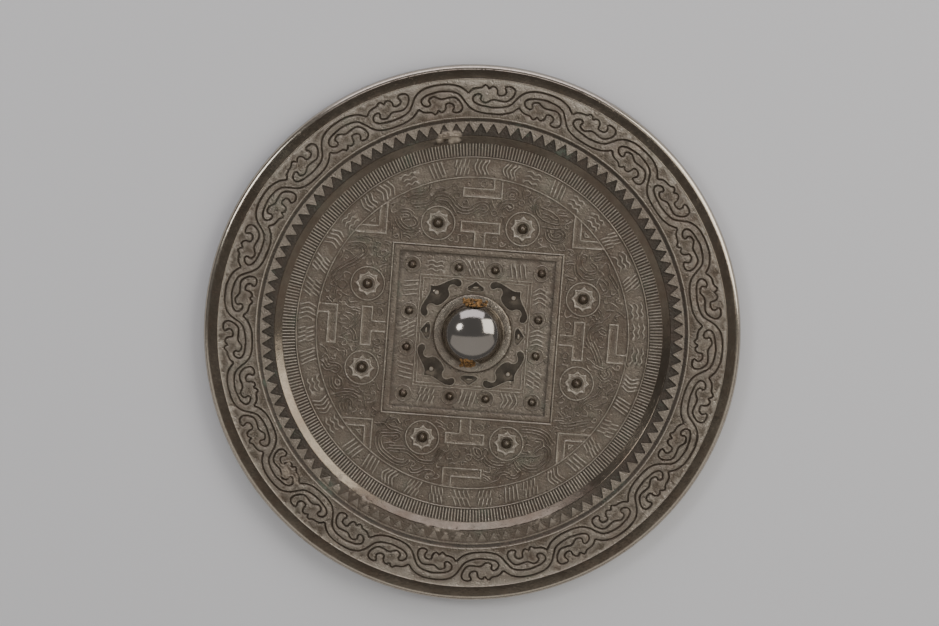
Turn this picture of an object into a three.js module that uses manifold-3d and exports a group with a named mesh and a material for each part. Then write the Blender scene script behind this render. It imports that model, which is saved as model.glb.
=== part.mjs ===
// Cast bronze mirror with a square frame, T, L and V marks, bosses and a cloud scroll on its back.
// It lies with the reflecting face down and the cast back up. Sizes are in millimetres.
// The origin is the middle of the flat spot under the face, and +Y is along the cord hole.
import * as THREE from "three";
import { mergeVertices } from "three/addons/utils/BufferGeometryUtils.js";
import Module from "manifold-3d";

// Disc, from the outer edge inwards
const mirrorRadius = 92.5;
const edgeInset = 0.6;
const edgeRound = 0.4;
const rimWidth = 4.45;
const scrollBandWidth = 13.25;
const scrollStepRun = 1.2;
const sawBandWidth = 4.9;
const bevelRun = 2.8;
const combBandWidth = 4.6;
const inscriptionBandWidth = 6.9;
const ringThreadWidth = 0.7;

// Levels: the thickness at the centre, and the rise of each zone above the one inside it
const plateThickness = 2.6;
const combRise = 0.3;
const bevelRise = 1.9;
const sawFloorRise = 0.1;
const toothRise = 0.4;
const scrollStepRise = 0.55;
const rimRise = 0.35;
const ringThreadRise = 0.4;

// Reflecting face: slightly convex, with a flat spot that the mirror rests on
const flatSpotRadius = 34;
const faceRise = 1.0;

// Sawteeth pointing inwards
const toothCount = 106;
const toothLength = 3.4;
const toothPhase = 5.3;

// Cloud scroll cut into the band as grooves
const waveCount = 15;
const wavePhase = 15.05;
const waveDrift = 3.7;
const waveDriftPhase = -35;
const waveMargin = 1.1;
const grooveWidth = 0.6;
const grooveDepth = 0.28;

// Square frame of two ridges with a hollow band between them
const frameHalfSide = 29.65;
const frameWidth = 3.05;
const frameRidgeWidth = 0.75;
const frameRidgeRise = 0.5;
const frameHollowWidth = 0.73;
const frameHollowRise = 0.12;
const innerSquareHalfSide = 19.3;
const innerSquareLine = 0.7;

// T, L and V marks: raised borders round a sunken floor
const markBorder = 0.55;
const markRise = 0.42;
const markFloorRise = 0.1;
const markWidth = 4.0;
const markSpan = 13.7;
const teeStemLength = 4.95;
const ellArmWidth = 3.4;
const ellReach = 3.7;
const veeInset = 8.7;
const veeWidth = 3.0;

// Large bosses on pointed stars, and small bosses inside the square
const bossCircleRadius = 39.9;
const bossAngle = 21.4;
const bossRingRadius = 5.9;
const starPoints = 8;
const starPointRadius = 4.35;
const starWaistRadius = 3.45;
const starRise = 0.4;
const bossFootRadius = 1.9;
const bossTopRadius = 0.7;
const bossRise = 2.0;
const bossWaistShare = 0.55;
const bossShoulderShare = 0.9;
const smallBossHalfSide = 22.3;
const smallBossOffset = 6.25;
const smallBossRadius = 1.4;
const smallBossTopRadius = 0.7;
const smallBossRise = 1.3;

// Knob with its seat and cord hole, four leaves and four buds
const seatRadius = 13.55;
const seatRise = 0.8;
const partGap = 0.3;
const knobRadius = 11.1;
const knobHeight = 8.8;
const holeWidth = 7.2;
const holeSideHeight = 1.6;
const holeSill = 0.15;
const leafReach = 22.6;
const leafSpread = 8.7;
const leafRise = 0.35;
const budRadius = 16.1;
const budLength = 5.4;
const budWidth = 3.0;
const budRise = 0.7;

// Fineness of the round shapes
const discSides = 68;
const knobSides = 24;
const bossSides = 8;
const bossRingSides = 12;
const faceSteps = 2;
const domeSteps = 4;
const archSteps = 8;
const mergeDistance = 1e-4;
const anchorDepth = 1.0;

// Radii of the zones, worked out from the widths
const backRadius = mirrorRadius - edgeInset;
const rimInnerRadius = backRadius - rimWidth;
const scrollInnerRadius = rimInnerRadius - scrollBandWidth;
const sawOuterRadius = scrollInnerRadius - scrollStepRun;
const bevelRadius = sawOuterRadius - sawBandWidth;
const combOuterRadius = bevelRadius - bevelRun;
const combInnerRadius = combOuterRadius - combBandWidth;
const fieldRadius = combInnerRadius - inscriptionBandWidth;

// Heights of the zones, worked out from the rises
const fieldLevel = plateThickness;
const combLevel = fieldLevel + combRise;
const bevelLevel = combLevel + bevelRise;
const sawFloorLevel = bevelLevel + sawFloorRise;
const toothLevel = sawFloorLevel + toothRise;
const scrollLevel = toothLevel + scrollStepRise;
const rimLevel = scrollLevel + rimRise;
const seatLevel = fieldLevel + seatRise;
const anchorLevel = fieldLevel - anchorDepth;

const bronze = new THREE.MeshStandardMaterial({ color: 0x5b544a, roughness: 0.45, metalness: 0.75 });

const wasm = await Module();
wasm.setup();

// A closed three.js geometry as a solid, without the folded triangles that a lathe leaves on its axis
function toSolid(geometry) {
  geometry.deleteAttribute("normal");
  geometry.deleteAttribute("uv");
  const merged = mergeVertices(geometry, mergeDistance);
  const corners = Array.from(merged.index.array);
  const triangles = [];
  for (let i = 0; i < corners.length; i += 3) {
    const [a, b, c] = corners.slice(i, i + 3);
    if (a !== b && b !== c && c !== a) triangles.push(a, b, c);
  }
  const vertProperties = new Float32Array(merged.attributes.position.array);
  const triVerts = new Uint32Array(triangles);
  return new wasm.Manifold(new wasm.Mesh({ numProp: 3, vertProperties, triVerts }));
}

function toGeometry(solid) {
  const mesh = solid.getMesh();
  const geometry = new THREE.BufferGeometry();
  geometry.setAttribute("position", new THREE.BufferAttribute(new Float32Array(mesh.vertProperties), 3));
  geometry.setIndex(new THREE.BufferAttribute(new Uint32Array(mesh.triVerts), 1));
  geometry.computeVertexNormals();
  return geometry;
}

function joined(solids) {
  return solids.reduce((whole, solid) => whole.add(solid));
}

function degrees(angle) {
  return THREE.MathUtils.degToRad(angle);
}

// A profile of [radius, height] points turned round Z
function turned(profile, sides) {
  const points = profile.map(([radius, height]) => new THREE.Vector2(radius, height));
  return new THREE.LatheGeometry(points, sides).rotateX(Math.PI / 2);
}

// A flat outline of [x, y] points raised from one level to another
function raised(outline, low, high) {
  const shape = new THREE.Shape(outline.map(([x, y]) => new THREE.Vector2(x, y)));
  return new THREE.ExtrudeGeometry(shape, { depth: high - low, bevelEnabled: false }).translate(0, 0, low);
}

// A closed outline, counterclockwise, with every side moved inwards by the same distance
function inset(outline, distance) {
  const count = outline.length;
  return outline.map((point, i) => {
    const before = edgeNormal(outline[(i + count - 1) % count], point);
    const after = edgeNormal(point, outline[(i + 1) % count]);
    const reach = distance / (1 + before[0] * after[0] + before[1] * after[1]);
    return [point[0] + (before[0] + after[0]) * reach, point[1] + (before[1] + after[1]) * reach];
  });
}

// The unit vector to the left of a line from one point to the next
function edgeNormal(from, to) {
  const length = Math.hypot(to[0] - from[0], to[1] - from[1]);
  return [(from[1] - to[1]) / length, (to[0] - from[0]) / length];
}

function polar(radius, angle) {
  return [radius * Math.cos(angle), radius * Math.sin(angle)];
}

function turnPoint([x, y], angle) {
  const c = Math.cos(angle);
  const s = Math.sin(angle);
  return [x * c - y * s, x * s + y * c];
}

// The four turns of a pattern that repeats on each side of the square
function quarterTurns() {
  return [0, 1, 2, 3].map((turn) => turn * Math.PI / 2);
}

// Profile of the convex face from its flat spot out to the edge
function faceProfile() {
  const outer = mirrorRadius - edgeRound;
  const points = [[0, 0]];
  for (let step = 0; step <= faceSteps; step += 1) {
    const radius = flatSpotRadius + (outer - flatSpotRadius) * step / faceSteps;
    const share = (radius ** 2 - flatSpotRadius ** 2) / (outer ** 2 - flatSpotRadius ** 2);
    points.push([radius, faceRise * share]);
  }
  return points;
}

// A fine raised ring, seen in section, walked from its outer foot to its inner foot
function ringThread(radius, level) {
  const half = ringThreadWidth / 2;
  return [
    [radius + half, level],
    [radius, level + ringThreadRise],
    [radius - half, level],
  ];
}

function plate() {
  return toSolid(turned([
    ...faceProfile(),
    [mirrorRadius, faceRise + edgeRound],
    [backRadius + edgeRound / 2, rimLevel - edgeRound],
    [backRadius - edgeRound, rimLevel],
    [rimInnerRadius, rimLevel],
    [rimInnerRadius - rimRise / 2, scrollLevel],
    [scrollInnerRadius, scrollLevel],
    [sawOuterRadius, sawFloorLevel],
    [bevelRadius, bevelLevel],
    [combOuterRadius, combLevel],
    ...ringThread(combInnerRadius, fieldLevel),
    ...ringThread(fieldRadius, fieldLevel),
    [0, fieldLevel],
  ], discSides));
}

// Ring of flat triangular teeth whose roots run into the step behind them
function sawteeth() {
  const rootRadius = sawOuterRadius - (sawBandWidth - toothLength) / 3;
  const shape = new THREE.Shape();
  shape.absarc(0, 0, scrollInnerRadius, 0, 2 * Math.PI);
  const points = [];
  for (let tooth = 0; tooth < toothCount; tooth += 1) {
    const middle = degrees(toothPhase + 360 * tooth / toothCount);
    points.push(new THREE.Vector2(...polar(rootRadius, middle - Math.PI / toothCount)));
    points.push(new THREE.Vector2(...polar(rootRadius - toothLength, middle)));
  }
  shape.holes.push(new THREE.Path(points));
  const depth = toothLevel - fieldLevel;
  const settings = { depth, bevelEnabled: false, curveSegments: discSides / 2 };
  return toSolid(new THREE.ExtrudeGeometry(shape, settings).translate(0, 0, fieldLevel));
}

// Place on the scroll band: along in half waves from a crest, across from -1, inside, to 1, outside
function scrollPoint(along, across, mirrored) {
  const turn = 360 * along / (2 * waveCount);
  const drift = waveDrift * Math.sin(degrees(turn + waveDriftPhase));
  const amplitude = scrollBandWidth / 2 - waveMargin;
  const middle = (rimInnerRadius + scrollInnerRadius) / 2;
  const radius = middle + amplitude * (mirrored ? -across : across);
  return polar(radius, degrees(wavePhase + turn + drift));
}

// One line of the scroll, over a crest and round the cloud that curls up in the next hollow
function scrollLine(halfWave) {
  const mirrored = halfWave % 2 === 1;
  const path = [
    [-0.52, -0.36], [-0.2, -0.95], [0.28, -0.92], [0.64, 0.22], [0.97, 0.56], [1.34, 0.3],
    [1.28, -0.22], [0.8, 0.1], [0.64, -0.78],
  ];
  return path.map(([along, across]) => scrollPoint(halfWave + along, across, mirrored));
}

// A groove of V section along a line of points, as the solid that cuts it
function grooveCutter(line, level) {
  const lift = grooveDepth / 2;
  const half = grooveWidth / 2 * (1 + lift / grooveDepth);
  const positions = [];
  line.forEach((point, i) => {
    const before = i > 0 ? edgeNormal(line[i - 1], point) : edgeNormal(point, line[i + 1]);
    const after = i < line.length - 1 ? edgeNormal(point, line[i + 1]) : before;
    const reach = half / Math.max(1 + before[0] * after[0] + before[1] * after[1], 1);
    const offset = [(before[0] + after[0]) * reach, (before[1] + after[1]) * reach];
    positions.push(point[0] + offset[0], point[1] + offset[1], level + lift);
    positions.push(point[0] - offset[0], point[1] - offset[1], level + lift);
    positions.push(point[0], point[1], level - grooveDepth);
  });
  const index = [0, 2, 1];
  for (let i = 0; i + 1 < line.length; i += 1) {
    const a = 3 * i;
    for (const [p, q] of [[0, 1], [1, 2], [2, 0]]) {
      index.push(a + p, a + q, a + q + 3, a + p, a + q + 3, a + p + 3);
    }
  }
  const last = 3 * (line.length - 1);
  index.push(last, last + 1, last + 2);
  const geometry = new THREE.BufferGeometry();
  geometry.setAttribute("position", new THREE.Float32BufferAttribute(positions, 3));
  geometry.setIndex(index);
  return toSolid(geometry);
}

function scrollGrooves() {
  const cutters = [];
  for (let halfWave = 0; halfWave < 2 * waveCount; halfWave += 1) {
    cutters.push(grooveCutter(scrollLine(halfWave), scrollLevel));
  }
  return joined(cutters);
}

// A square moulding from a profile of [half side, height] points, closed on itself
function squareMoulding(profile) {
  const closed = [...profile, profile[0]];
  const corners = closed.map(([halfSide, height]) => [halfSide * Math.SQRT2, height]);
  return toSolid(turned(corners, 4).rotateZ(Math.PI / 4));
}

function frame() {
  const inner = frameHalfSide - frameWidth;
  const ridge = fieldLevel + frameRidgeRise;
  const hollow = fieldLevel + frameHollowRise;
  const foot = frameRidgeWidth / 4;
  return squareMoulding([
    [inner, anchorLevel],
    [frameHalfSide, anchorLevel],
    [frameHalfSide, fieldLevel],
    [frameHalfSide - foot, ridge],
    [frameHalfSide - frameRidgeWidth, ridge],
    [frameHalfSide - (frameWidth - frameHollowWidth) / 2, hollow],
    [inner + (frameWidth - frameHollowWidth) / 2, hollow],
    [inner + frameRidgeWidth, ridge],
    [inner + foot, ridge],
    [inner, fieldLevel],
  ]);
}

function innerSquare() {
  const inner = innerSquareHalfSide - innerSquareLine;
  const middle = innerSquareHalfSide - innerSquareLine / 2;
  return squareMoulding([
    [inner, anchorLevel],
    [innerSquareHalfSide, anchorLevel],
    [innerSquareHalfSide, fieldLevel],
    [middle, fieldLevel + ringThreadRise],
    [inner, fieldLevel],
  ]);
}

// A mark's raised border, with its sunken floor cut by the same outline moved inwards
function mark(outline, floorOutline) {
  const body = toSolid(raised(outline, anchorLevel, fieldLevel + markRise));
  const pocket = raised(floorOutline, fieldLevel + markFloorRise, fieldLevel + 2 * markRise);
  return body.subtract(toSolid(pocket));
}

// T standing on the middle of a side of the frame, with its bar away from the centre
function teeOutline() {
  const stem = markWidth / 2;
  const bar = markSpan / 2;
  const low = frameHalfSide - frameRidgeWidth;
  const under = frameHalfSide + teeStemLength;
  const over = under + markWidth;
  return [[-stem, low], [stem, low], [stem, under], [bar, under], [bar, over], [-bar, over], [-bar, under],
    [-stem, under]];
}

// L hanging from the ring round the field, open towards the T
function ellOutline() {
  const bar = markSpan / 2;
  const over = fieldRadius - ellReach;
  const under = over - ellArmWidth;
  return [[-bar, under], [bar, under], [bar, fieldRadius], [bar - ellArmWidth, fieldRadius],
    [bar - ellArmWidth, over], [-bar, over]];
}

// V in a corner of the field, with its point towards the centre and its arms running to the ring
function veeOutline() {
  const point = (fieldRadius - veeInset) * Math.SQRT1_2;
  const far = Math.sqrt(fieldRadius ** 2 - (point + veeWidth) ** 2);
  return [[point, point], [far, point], [far, point + veeWidth], [point + veeWidth, point + veeWidth],
    [point + veeWidth, far], [point, far]];
}

function marks() {
  const solids = [];
  for (const outline of [teeOutline(), ellOutline(), veeOutline()]) {
    const floorOutline = inset(outline, markBorder);
    for (const turn of quarterTurns()) {
      const spun = outline.map((point) => turnPoint(point, turn));
      const spunFloor = floorOutline.map((point) => turnPoint(point, turn));
      solids.push(mark(spun, spunFloor));
    }
  }
  return joined(solids);
}

// Star with hollow sides
function starOutline(x, y) {
  const points = [];
  for (let step = 0; step < 2 * starPoints; step += 1) {
    const angle = Math.PI * step / starPoints;
    const radius = step % 2 === 0 ? starPointRadius : starWaistRadius;
    const [dx, dy] = polar(radius, angle);
    points.push([x + dx, y + dy]);
  }
  return points;
}

function bossRing(x, y) {
  const half = ringThreadWidth / 2;
  const profile = [
    [bossRingRadius - half, anchorLevel],
    [bossRingRadius + half, anchorLevel],
    [bossRingRadius + half, fieldLevel],
    [bossRingRadius, fieldLevel + ringThreadRise],
    [bossRingRadius - half, fieldLevel],
    [bossRingRadius - half, anchorLevel],
  ];
  return toSolid(turned(profile, bossRingSides).translate(x, y, 0));
}

// A round boss with a blunt top
function boss(x, y, footRadius, topRadius, rise) {
  const profile = [
    [0, anchorLevel],
    [footRadius, anchorLevel],
    [footRadius, fieldLevel],
    [(footRadius + topRadius) / 2, fieldLevel + rise * bossWaistShare],
    [topRadius, fieldLevel + rise * bossShoulderShare],
    [0, fieldLevel + rise],
  ];
  return toSolid(turned(profile, bossSides).translate(x, y, 0));
}

function largeBosses() {
  const solids = [];
  for (const turn of quarterTurns()) {
    for (const side of [-1, 1]) {
      const [x, y] = polar(bossCircleRadius, turn + side * degrees(bossAngle));
      solids.push(bossRing(x, y));
      solids.push(toSolid(raised(starOutline(x, y), anchorLevel, fieldLevel + starRise)));
      solids.push(boss(x, y, bossFootRadius, bossTopRadius, bossRise));
    }
  }
  return joined(solids);
}

function smallBosses() {
  const solids = [];
  for (const turn of quarterTurns()) {
    for (const along of [-smallBossOffset, smallBossOffset, smallBossHalfSide]) {
      const [x, y] = turnPoint([along, smallBossHalfSide], turn);
      solids.push(boss(x, y, smallBossRadius, smallBossTopRadius, smallBossRise));
    }
  }
  return joined(solids);
}

// Leaf along +X: a point, two hollow flanks and two round lobes beside the knob seat.
// Its flanks are shares of its own length and spread.
function leafOutline() {
  const root = seatRadius * 0.8;
  const length = leafReach - seatRadius;
  const half = [
    [leafReach, 0],
    [seatRadius + length * 0.76, leafSpread * 0.3],
    [seatRadius + length * 0.62, leafSpread * 0.68],
    [seatRadius + length * 0.46, leafSpread * 0.92],
    [seatRadius + length * 0.24, leafSpread],
    [seatRadius + length * 0.08, leafSpread * 0.9],
    [root, leafSpread * 0.62],
  ];
  const mirror = half.slice(1).reverse().map(([x, y]) => [x, -y]);
  return [...half, ...mirror];
}

function leaves() {
  return joined(quarterTurns().map((turn) => {
    const outline = leafOutline().map((point) => turnPoint(point, turn + Math.PI / 4));
    return toSolid(raised(outline, anchorLevel, fieldLevel + leafRise));
  }));
}

function buds() {
  return joined(quarterTurns().map((turn) => {
    const geometry = turned([
      [0, anchorLevel],
      [1, anchorLevel],
      [1, fieldLevel],
      [0.6, fieldLevel + budRise * 0.8],
      [0, fieldLevel + budRise],
    ], bossSides);
    geometry.scale(budWidth / 2, budLength / 2, 1);
    return toSolid(geometry.translate(budRadius, 0, 0).rotateZ(turn));
  }));
}

// Round knob on its low seat. The real mirror has it cast on; here it is parted from the disc under the seat.
function knobBody() {
  const foot = fieldLevel + partGap;
  const profile = [[0, foot], [seatRadius, foot], [seatRadius - seatRise / 2, seatLevel]];
  for (let step = 0; step < domeSteps; step += 1) {
    const lift = Math.PI / 2 * step / domeSteps;
    profile.push([knobRadius * Math.cos(lift), seatLevel + knobHeight * Math.sin(lift)]);
  }
  profile.push([0, seatLevel + knobHeight]);
  return toSolid(turned(profile, knobSides));
}

// Room that the disc leaves round the seat
function seatRoom() {
  const radius = seatRadius + partGap;
  const top = seatLevel + knobHeight;
  return toSolid(turned([[0, fieldLevel], [radius, fieldLevel], [radius, top], [0, top]], knobSides));
}

// Arched hole for the cord, along Y
function cordHole() {
  const half = holeWidth / 2;
  const shape = new THREE.Shape();
  shape.moveTo(-half, 0);
  shape.lineTo(half, 0);
  shape.absarc(0, holeSideHeight, half, 0, Math.PI);
  const length = 2 * (knobRadius + anchorDepth);
  const settings = { depth: length, bevelEnabled: false, curveSegments: archSteps };
  const geometry = new THREE.ExtrudeGeometry(shape, settings).translate(0, 0, -length / 2);
  return toSolid(geometry.rotateX(Math.PI / 2).translate(0, 0, seatLevel + holeSill));
}

function discSolid() {
  return plate()
    .add(sawteeth())
    .subtract(scrollGrooves())
    .add(frame())
    .add(innerSquare())
    .add(marks())
    .add(largeBosses())
    .add(smallBosses())
    .add(leaves())
    .add(buds())
    .subtract(seatRoom());
}

const mirror = new THREE.Mesh(toGeometry(discSolid()), bronze);
mirror.name = "mirror";

const knob = new THREE.Mesh(toGeometry(knobBody().subtract(cordHole())), bronze);
knob.name = "knob";

const group = new THREE.Group();
group.add(mirror, knob);

export default group;
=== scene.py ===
import math
import random
import time

import bmesh
import bpy
import numpy as np
from mathutils import Matrix, Quaternion, Vector, kdtree, noise
from mathutils.geometry import delaunay_2d_cdt


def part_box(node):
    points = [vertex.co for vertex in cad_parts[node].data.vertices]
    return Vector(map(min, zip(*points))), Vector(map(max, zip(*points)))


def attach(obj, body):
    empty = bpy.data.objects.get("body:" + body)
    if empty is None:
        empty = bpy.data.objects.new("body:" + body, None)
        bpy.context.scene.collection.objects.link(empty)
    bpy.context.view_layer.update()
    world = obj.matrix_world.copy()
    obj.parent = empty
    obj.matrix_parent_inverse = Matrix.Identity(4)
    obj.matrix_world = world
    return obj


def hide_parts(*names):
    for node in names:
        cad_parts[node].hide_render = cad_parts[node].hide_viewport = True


startTime = time.time()
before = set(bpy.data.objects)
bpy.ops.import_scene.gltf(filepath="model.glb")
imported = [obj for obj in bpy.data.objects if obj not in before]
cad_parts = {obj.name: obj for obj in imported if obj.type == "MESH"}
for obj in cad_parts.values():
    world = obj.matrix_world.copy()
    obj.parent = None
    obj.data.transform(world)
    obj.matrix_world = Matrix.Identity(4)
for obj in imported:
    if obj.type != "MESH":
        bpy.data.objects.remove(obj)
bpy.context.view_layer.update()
discLow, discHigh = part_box("mirror")
_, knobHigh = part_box("knob")
mm = 0.001


def report(stage):
    print(f"mirror: {stage}, {time.time() - startTime:.1f} s")


def addObject(name, data):
    obj = bpy.data.objects.new(name, data)
    bpy.context.scene.collection.objects.link(obj)
    return obj


report("frame loaded")

# Sizes of the disc in millimetres, from the outer edge inwards and from the face upwards
disc = {
    "radius": (discHigh.x - discLow.x) / 2 / mm,
    "edgeInset": 0.6,
    "edgeRound": 1.3,
    "rimWidth": 4.45,
    "scrollBandWidth": 13.25,
    "scrollStepRun": 1.2,
    "sawBandWidth": 4.9,
    "bevelRun": 2.8,
    "combBandWidth": 4.6,
    "inscriptionBandWidth": 6.9,
    "thickness": 2.6,
    "combRise": 0.3,
    "bevelRise": 1.9,
    "sawFloorRise": 0.1,
    "toothRise": 0.4,
    "scrollStepRise": 0.55,
    "rimRise": 0.35,
    "flatSpotRadius": 34,
    "faceRise": 1.0,
    "sides": 360,
}
backRadius = disc["radius"] - disc["edgeInset"]
rimInner = backRadius - disc["rimWidth"]
scrollInner = rimInner - disc["scrollBandWidth"]
sawOuter = scrollInner - disc["scrollStepRun"]
bevelRadius = sawOuter - disc["sawBandWidth"]
combOuter = bevelRadius - disc["bevelRun"]
combInner = combOuter - disc["combBandWidth"]
fieldRadius = combInner - disc["inscriptionBandWidth"]
fieldLevel = disc["thickness"]
combLevel = fieldLevel + disc["combRise"]
bevelLevel = combLevel + disc["bevelRise"]
sawFloor = bevelLevel + disc["sawFloorRise"]
toothLevel = sawFloor + disc["toothRise"]
scrollLevel = toothLevel + disc["scrollStepRise"]
rimLevel = scrollLevel + disc["rimRise"]

knob = {
    "seatRadius": 13.55,
    "seatRise": 0.8,
    "radius": 11.1,
    "top": knobHigh.z / mm,
    "holeWidth": 7.2,
    "holeSideHeight": 1.6,
    "holeSill": 0.15,
    "root": 1.2,
    "sides": 72,
    "steps": 20,
}
seatLevel = fieldLevel + knob["seatRise"]

sawteeth = {
    "count": 106,
    "length": 3.4,
    "widthShare": 0.48,
    "phase": 5.3,
    "inset": 0.6,
    "draft": 0.1,
    "base": 0.5,
    "root": 0.6,
    "wornFrom": 214,
    "wornTo": 322,
    "wornRun": 30,
}
comb = {"count": 375, "width": 0.58, "rise": 0.3, "root": 0.45}


# Walks a smooth curve through a few points, at an even spacing
def smoothLine(points, spacing, closed=False):
    pts = np.asarray(points, float)
    if closed:
        pts = np.vstack([pts[-1], pts, pts[:2]])
    else:
        pts = np.vstack([2 * pts[0] - pts[1], pts, 2 * pts[-1] - pts[-2]])
    t = np.linspace(0, 1, 12, endpoint=False)[:, None]
    parts = []
    for i in range(1, len(pts) - 2):
        a, b, c, d = pts[i - 1:i + 3]
        parts.append(0.5 * (2 * b + (c - a) * t + (2 * a - 5 * b + 4 * c - d) * t ** 2
                            + (3 * b - a - 3 * c + d) * t ** 3))
    curve = np.vstack(parts + [pts[-2][None]])
    return evenLine(curve, spacing, closed)


# The same line with its points at an even spacing; a closed line leaves out its last point
def evenLine(curve, spacing, closed=False):
    curve = np.asarray(curve, float)
    if closed and np.linalg.norm(curve[0] - curve[-1]) > 1e-9:
        curve = np.vstack([curve, curve[0]])
    along = np.concatenate([[0], np.cumsum(np.linalg.norm(np.diff(curve, axis=0), axis=1))])
    count = max(2, int(round(along[-1] / spacing)))
    stations = np.linspace(0, along[-1], count + 1)
    line = np.column_stack([np.interp(stations, along, curve[:, k]) for k in (0, 1)])
    return line[:-1] if closed else line


def sideLine(line, distance, closed=False):
    if closed:
        tangent = np.roll(line, -1, 0) - np.roll(line, 1, 0)
    else:
        tangent = np.gradient(line, axis=0)
    tangent /= np.maximum(np.linalg.norm(tangent, axis=1), 1e-9)[:, None]
    return line + distance * np.column_stack([-tangent[:, 1], tangent[:, 0]])


def circleLine(x, y, radius, count, phase=0.0):
    angle = phase + 2 * math.pi * np.arange(count) / count
    return np.column_stack([x + radius * np.cos(angle), y + radius * np.sin(angle)])


def spin(points, degrees, flip=False):
    pts = np.asarray(points, float).copy()
    if flip:
        pts[:, 0] *= -1
    c, s = math.cos(math.radians(degrees)), math.sin(math.radians(degrees))
    return pts @ np.array([[c, s], [-s, c]])


# A polygon with every side moved inwards by the same distance
def insetPolygon(outline, distance):
    pts = np.asarray(outline, float)
    before = pts - np.roll(pts, 1, 0)
    after = np.roll(pts, -1, 0) - pts
    n1 = np.column_stack([-before[:, 1], before[:, 0]]) / np.linalg.norm(before, axis=1)[:, None]
    n2 = np.column_stack([-after[:, 1], after[:, 0]]) / np.linalg.norm(after, axis=1)[:, None]
    return pts + (n1 + n2) * (distance / (1 + (n1 * n2).sum(1)))[:, None]


guides = []
threads = []
plates = []


def addGuide(line, closed=False):
    guides.append((np.asarray(line, float), closed))


# A raised thread, or a groove where its height is below zero, along a line
def addThread(line, width, height, closed=False, shares=(-0.5, 0, 0.5)):
    for share in shares:
        addGuide(sideLine(line, share * width, closed), closed)
    ends = np.vstack([line, line[0]]) if closed else line
    dense = evenLine(ends, 0.09)
    threads.append(np.column_stack([dense, np.full(len(dense), width), np.full(len(dense), height)]))


# A flat shape with a stepped border: its height follows the distance inwards from its outline
def addPlate(outline, depths, heights, keep=None, spacing=0.9, smooth=False):
    outline = np.asarray(outline, float)
    plates.append((outline, np.array(depths), np.array(heights), keep))
    for depth in depths:
        line = sideLine(outline, depth, True) if smooth else insetPolygon(outline, depth)
        if not smooth:
            corners = np.vstack([line, line[0]])
            line = np.vstack([evenLine(corners[i:i + 2], spacing)[:-1] for i in range(len(line))])
        if keep is None:
            addGuide(line, True)
        else:
            addGuideRuns(np.vstack([line, line[0]]), keep)


# Only the stretches of a line whose points pass a test
def addGuideRuns(line, keep):
    inside = keep(line)
    start = None
    for i, flag in enumerate(list(inside) + [False]):
        if flag and start is None:
            start = i
        if not flag and start is not None:
            if i - start > 1:
                addGuide(line[start:i])
            start = None


# Cloud scroll: one line over a crest and round the cloud that curls up in the next hollow.
# Each point is along in half waves from the crest, and across from -1, inside, to 1, outside.
scroll = {
    "waves": 15,
    "phase": 15.05,
    "drift": 3.7,
    "driftPhase": -35,
    "margin": 1.35,
    "grooveWidth": 0.6,
    "grooveDepth": 0.33,
    "spacing": 0.65,
    "lipHeight": 0.14,
    "lipWidth": 0.2,
    "line": [
        (-0.517, -0.362), (-0.47, -0.511), (-0.376, -0.745), (-0.201, -0.936), (0.0, -0.979),
        (0.201, -0.936), (0.362, -0.787), (0.483, -0.489), (0.575, -0.064), (0.658, 0.277),
        (0.792, 0.468), (0.993, 0.553), (1.128, 0.511), (1.289, 0.404), (1.383, 0.191), (1.383, -0.064),
        (1.329, -0.234), (1.262, -0.277), (1.221, -0.149), (1.248, 0.064), (1.208, 0.213),
        (1.128, 0.277), (1.06, 0.149), (0.993, 0.043), (0.86, 0.09), (0.76, 0.1), (0.685, -0.043),
        (0.617, -0.362), (0.605, -0.68), (0.658, -0.87), (0.752, -0.9), (0.805, -0.787), (0.765, -0.574),
        (0.779, -0.362), (0.859, -0.255), (0.926, -0.319), (0.933, -0.574), (0.980, -0.766),
        (1.04, -0.78), (1.087, -0.617), (1.114, -0.787), (1.168, -0.872), (1.221, -0.702),
        (1.315, -0.66), (1.396, -0.574), (1.463, -0.362),
    ],
}


def scrollPoints(halfWave):
    shape = np.array(scroll["line"])
    turn = 180 * (halfWave + shape[:, 0]) / scroll["waves"]
    drift = scroll["drift"] * np.sin(np.radians(turn + scroll["driftPhase"]))
    angle = np.radians(scroll["phase"] + turn + drift)
    across = -shape[:, 1] if halfWave % 2 else shape[:, 1]
    amplitude = disc["scrollBandWidth"] / 2 - scroll["margin"]
    radius = (rimInner + scrollInner) / 2 + amplitude * across
    return np.column_stack([radius * np.cos(angle), radius * np.sin(angle)])


def cutScroll():
    for halfWave in range(2 * scroll["waves"]):
        line = smoothLine(scrollPoints(halfWave), scroll["spacing"])
        addThread(line, scroll["grooveWidth"], -scroll["grooveDepth"], shares=(-0.8, -0.45, 0, 0.45, 0.8))


# Square frame and the two fine lines of the inner square, by distance inwards from their outer side
square = {
    "halfSide": 29.65,
    "depths": [0, 0.12, 0.34, 0.5, 0.72, 0.95, 1.4, 2.0, 2.6, 2.82, 3.05],
    "heights": [0, 0.42, 0.54, 0.44, 0.06, 0.2, 0.3, 0.32, 0.26, 0.04, 0],
    "innerHalfSide": 19.4,
    "innerDepths": [0, 0.12, 0.38, 0.5, 1.1, 1.22, 1.48, 1.6],
    "innerHeights": [0, 0.32, 0.32, 0, 0, 0.32, 0.32, 0],
    "spacing": 1.3,
}
squares = ((square["halfSide"], square["depths"], square["heights"]),
           (square["innerHalfSide"], square["innerDepths"], square["innerHeights"]))


def squareDistance(xy):
    return np.maximum(np.abs(xy[:, 0]), np.abs(xy[:, 1]))


def castSquares():
    for half, depths, _ in squares:
        for depth in depths:
            side = half - depth
            corners = np.array([(side, -side), (side, side), (-side, side), (-side, -side), (side, -side)])
            sides = [evenLine(corners[i:i + 2], square["spacing"])[:-1] for i in range(4)]
            addGuide(np.vstack(sides), True)


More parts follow.
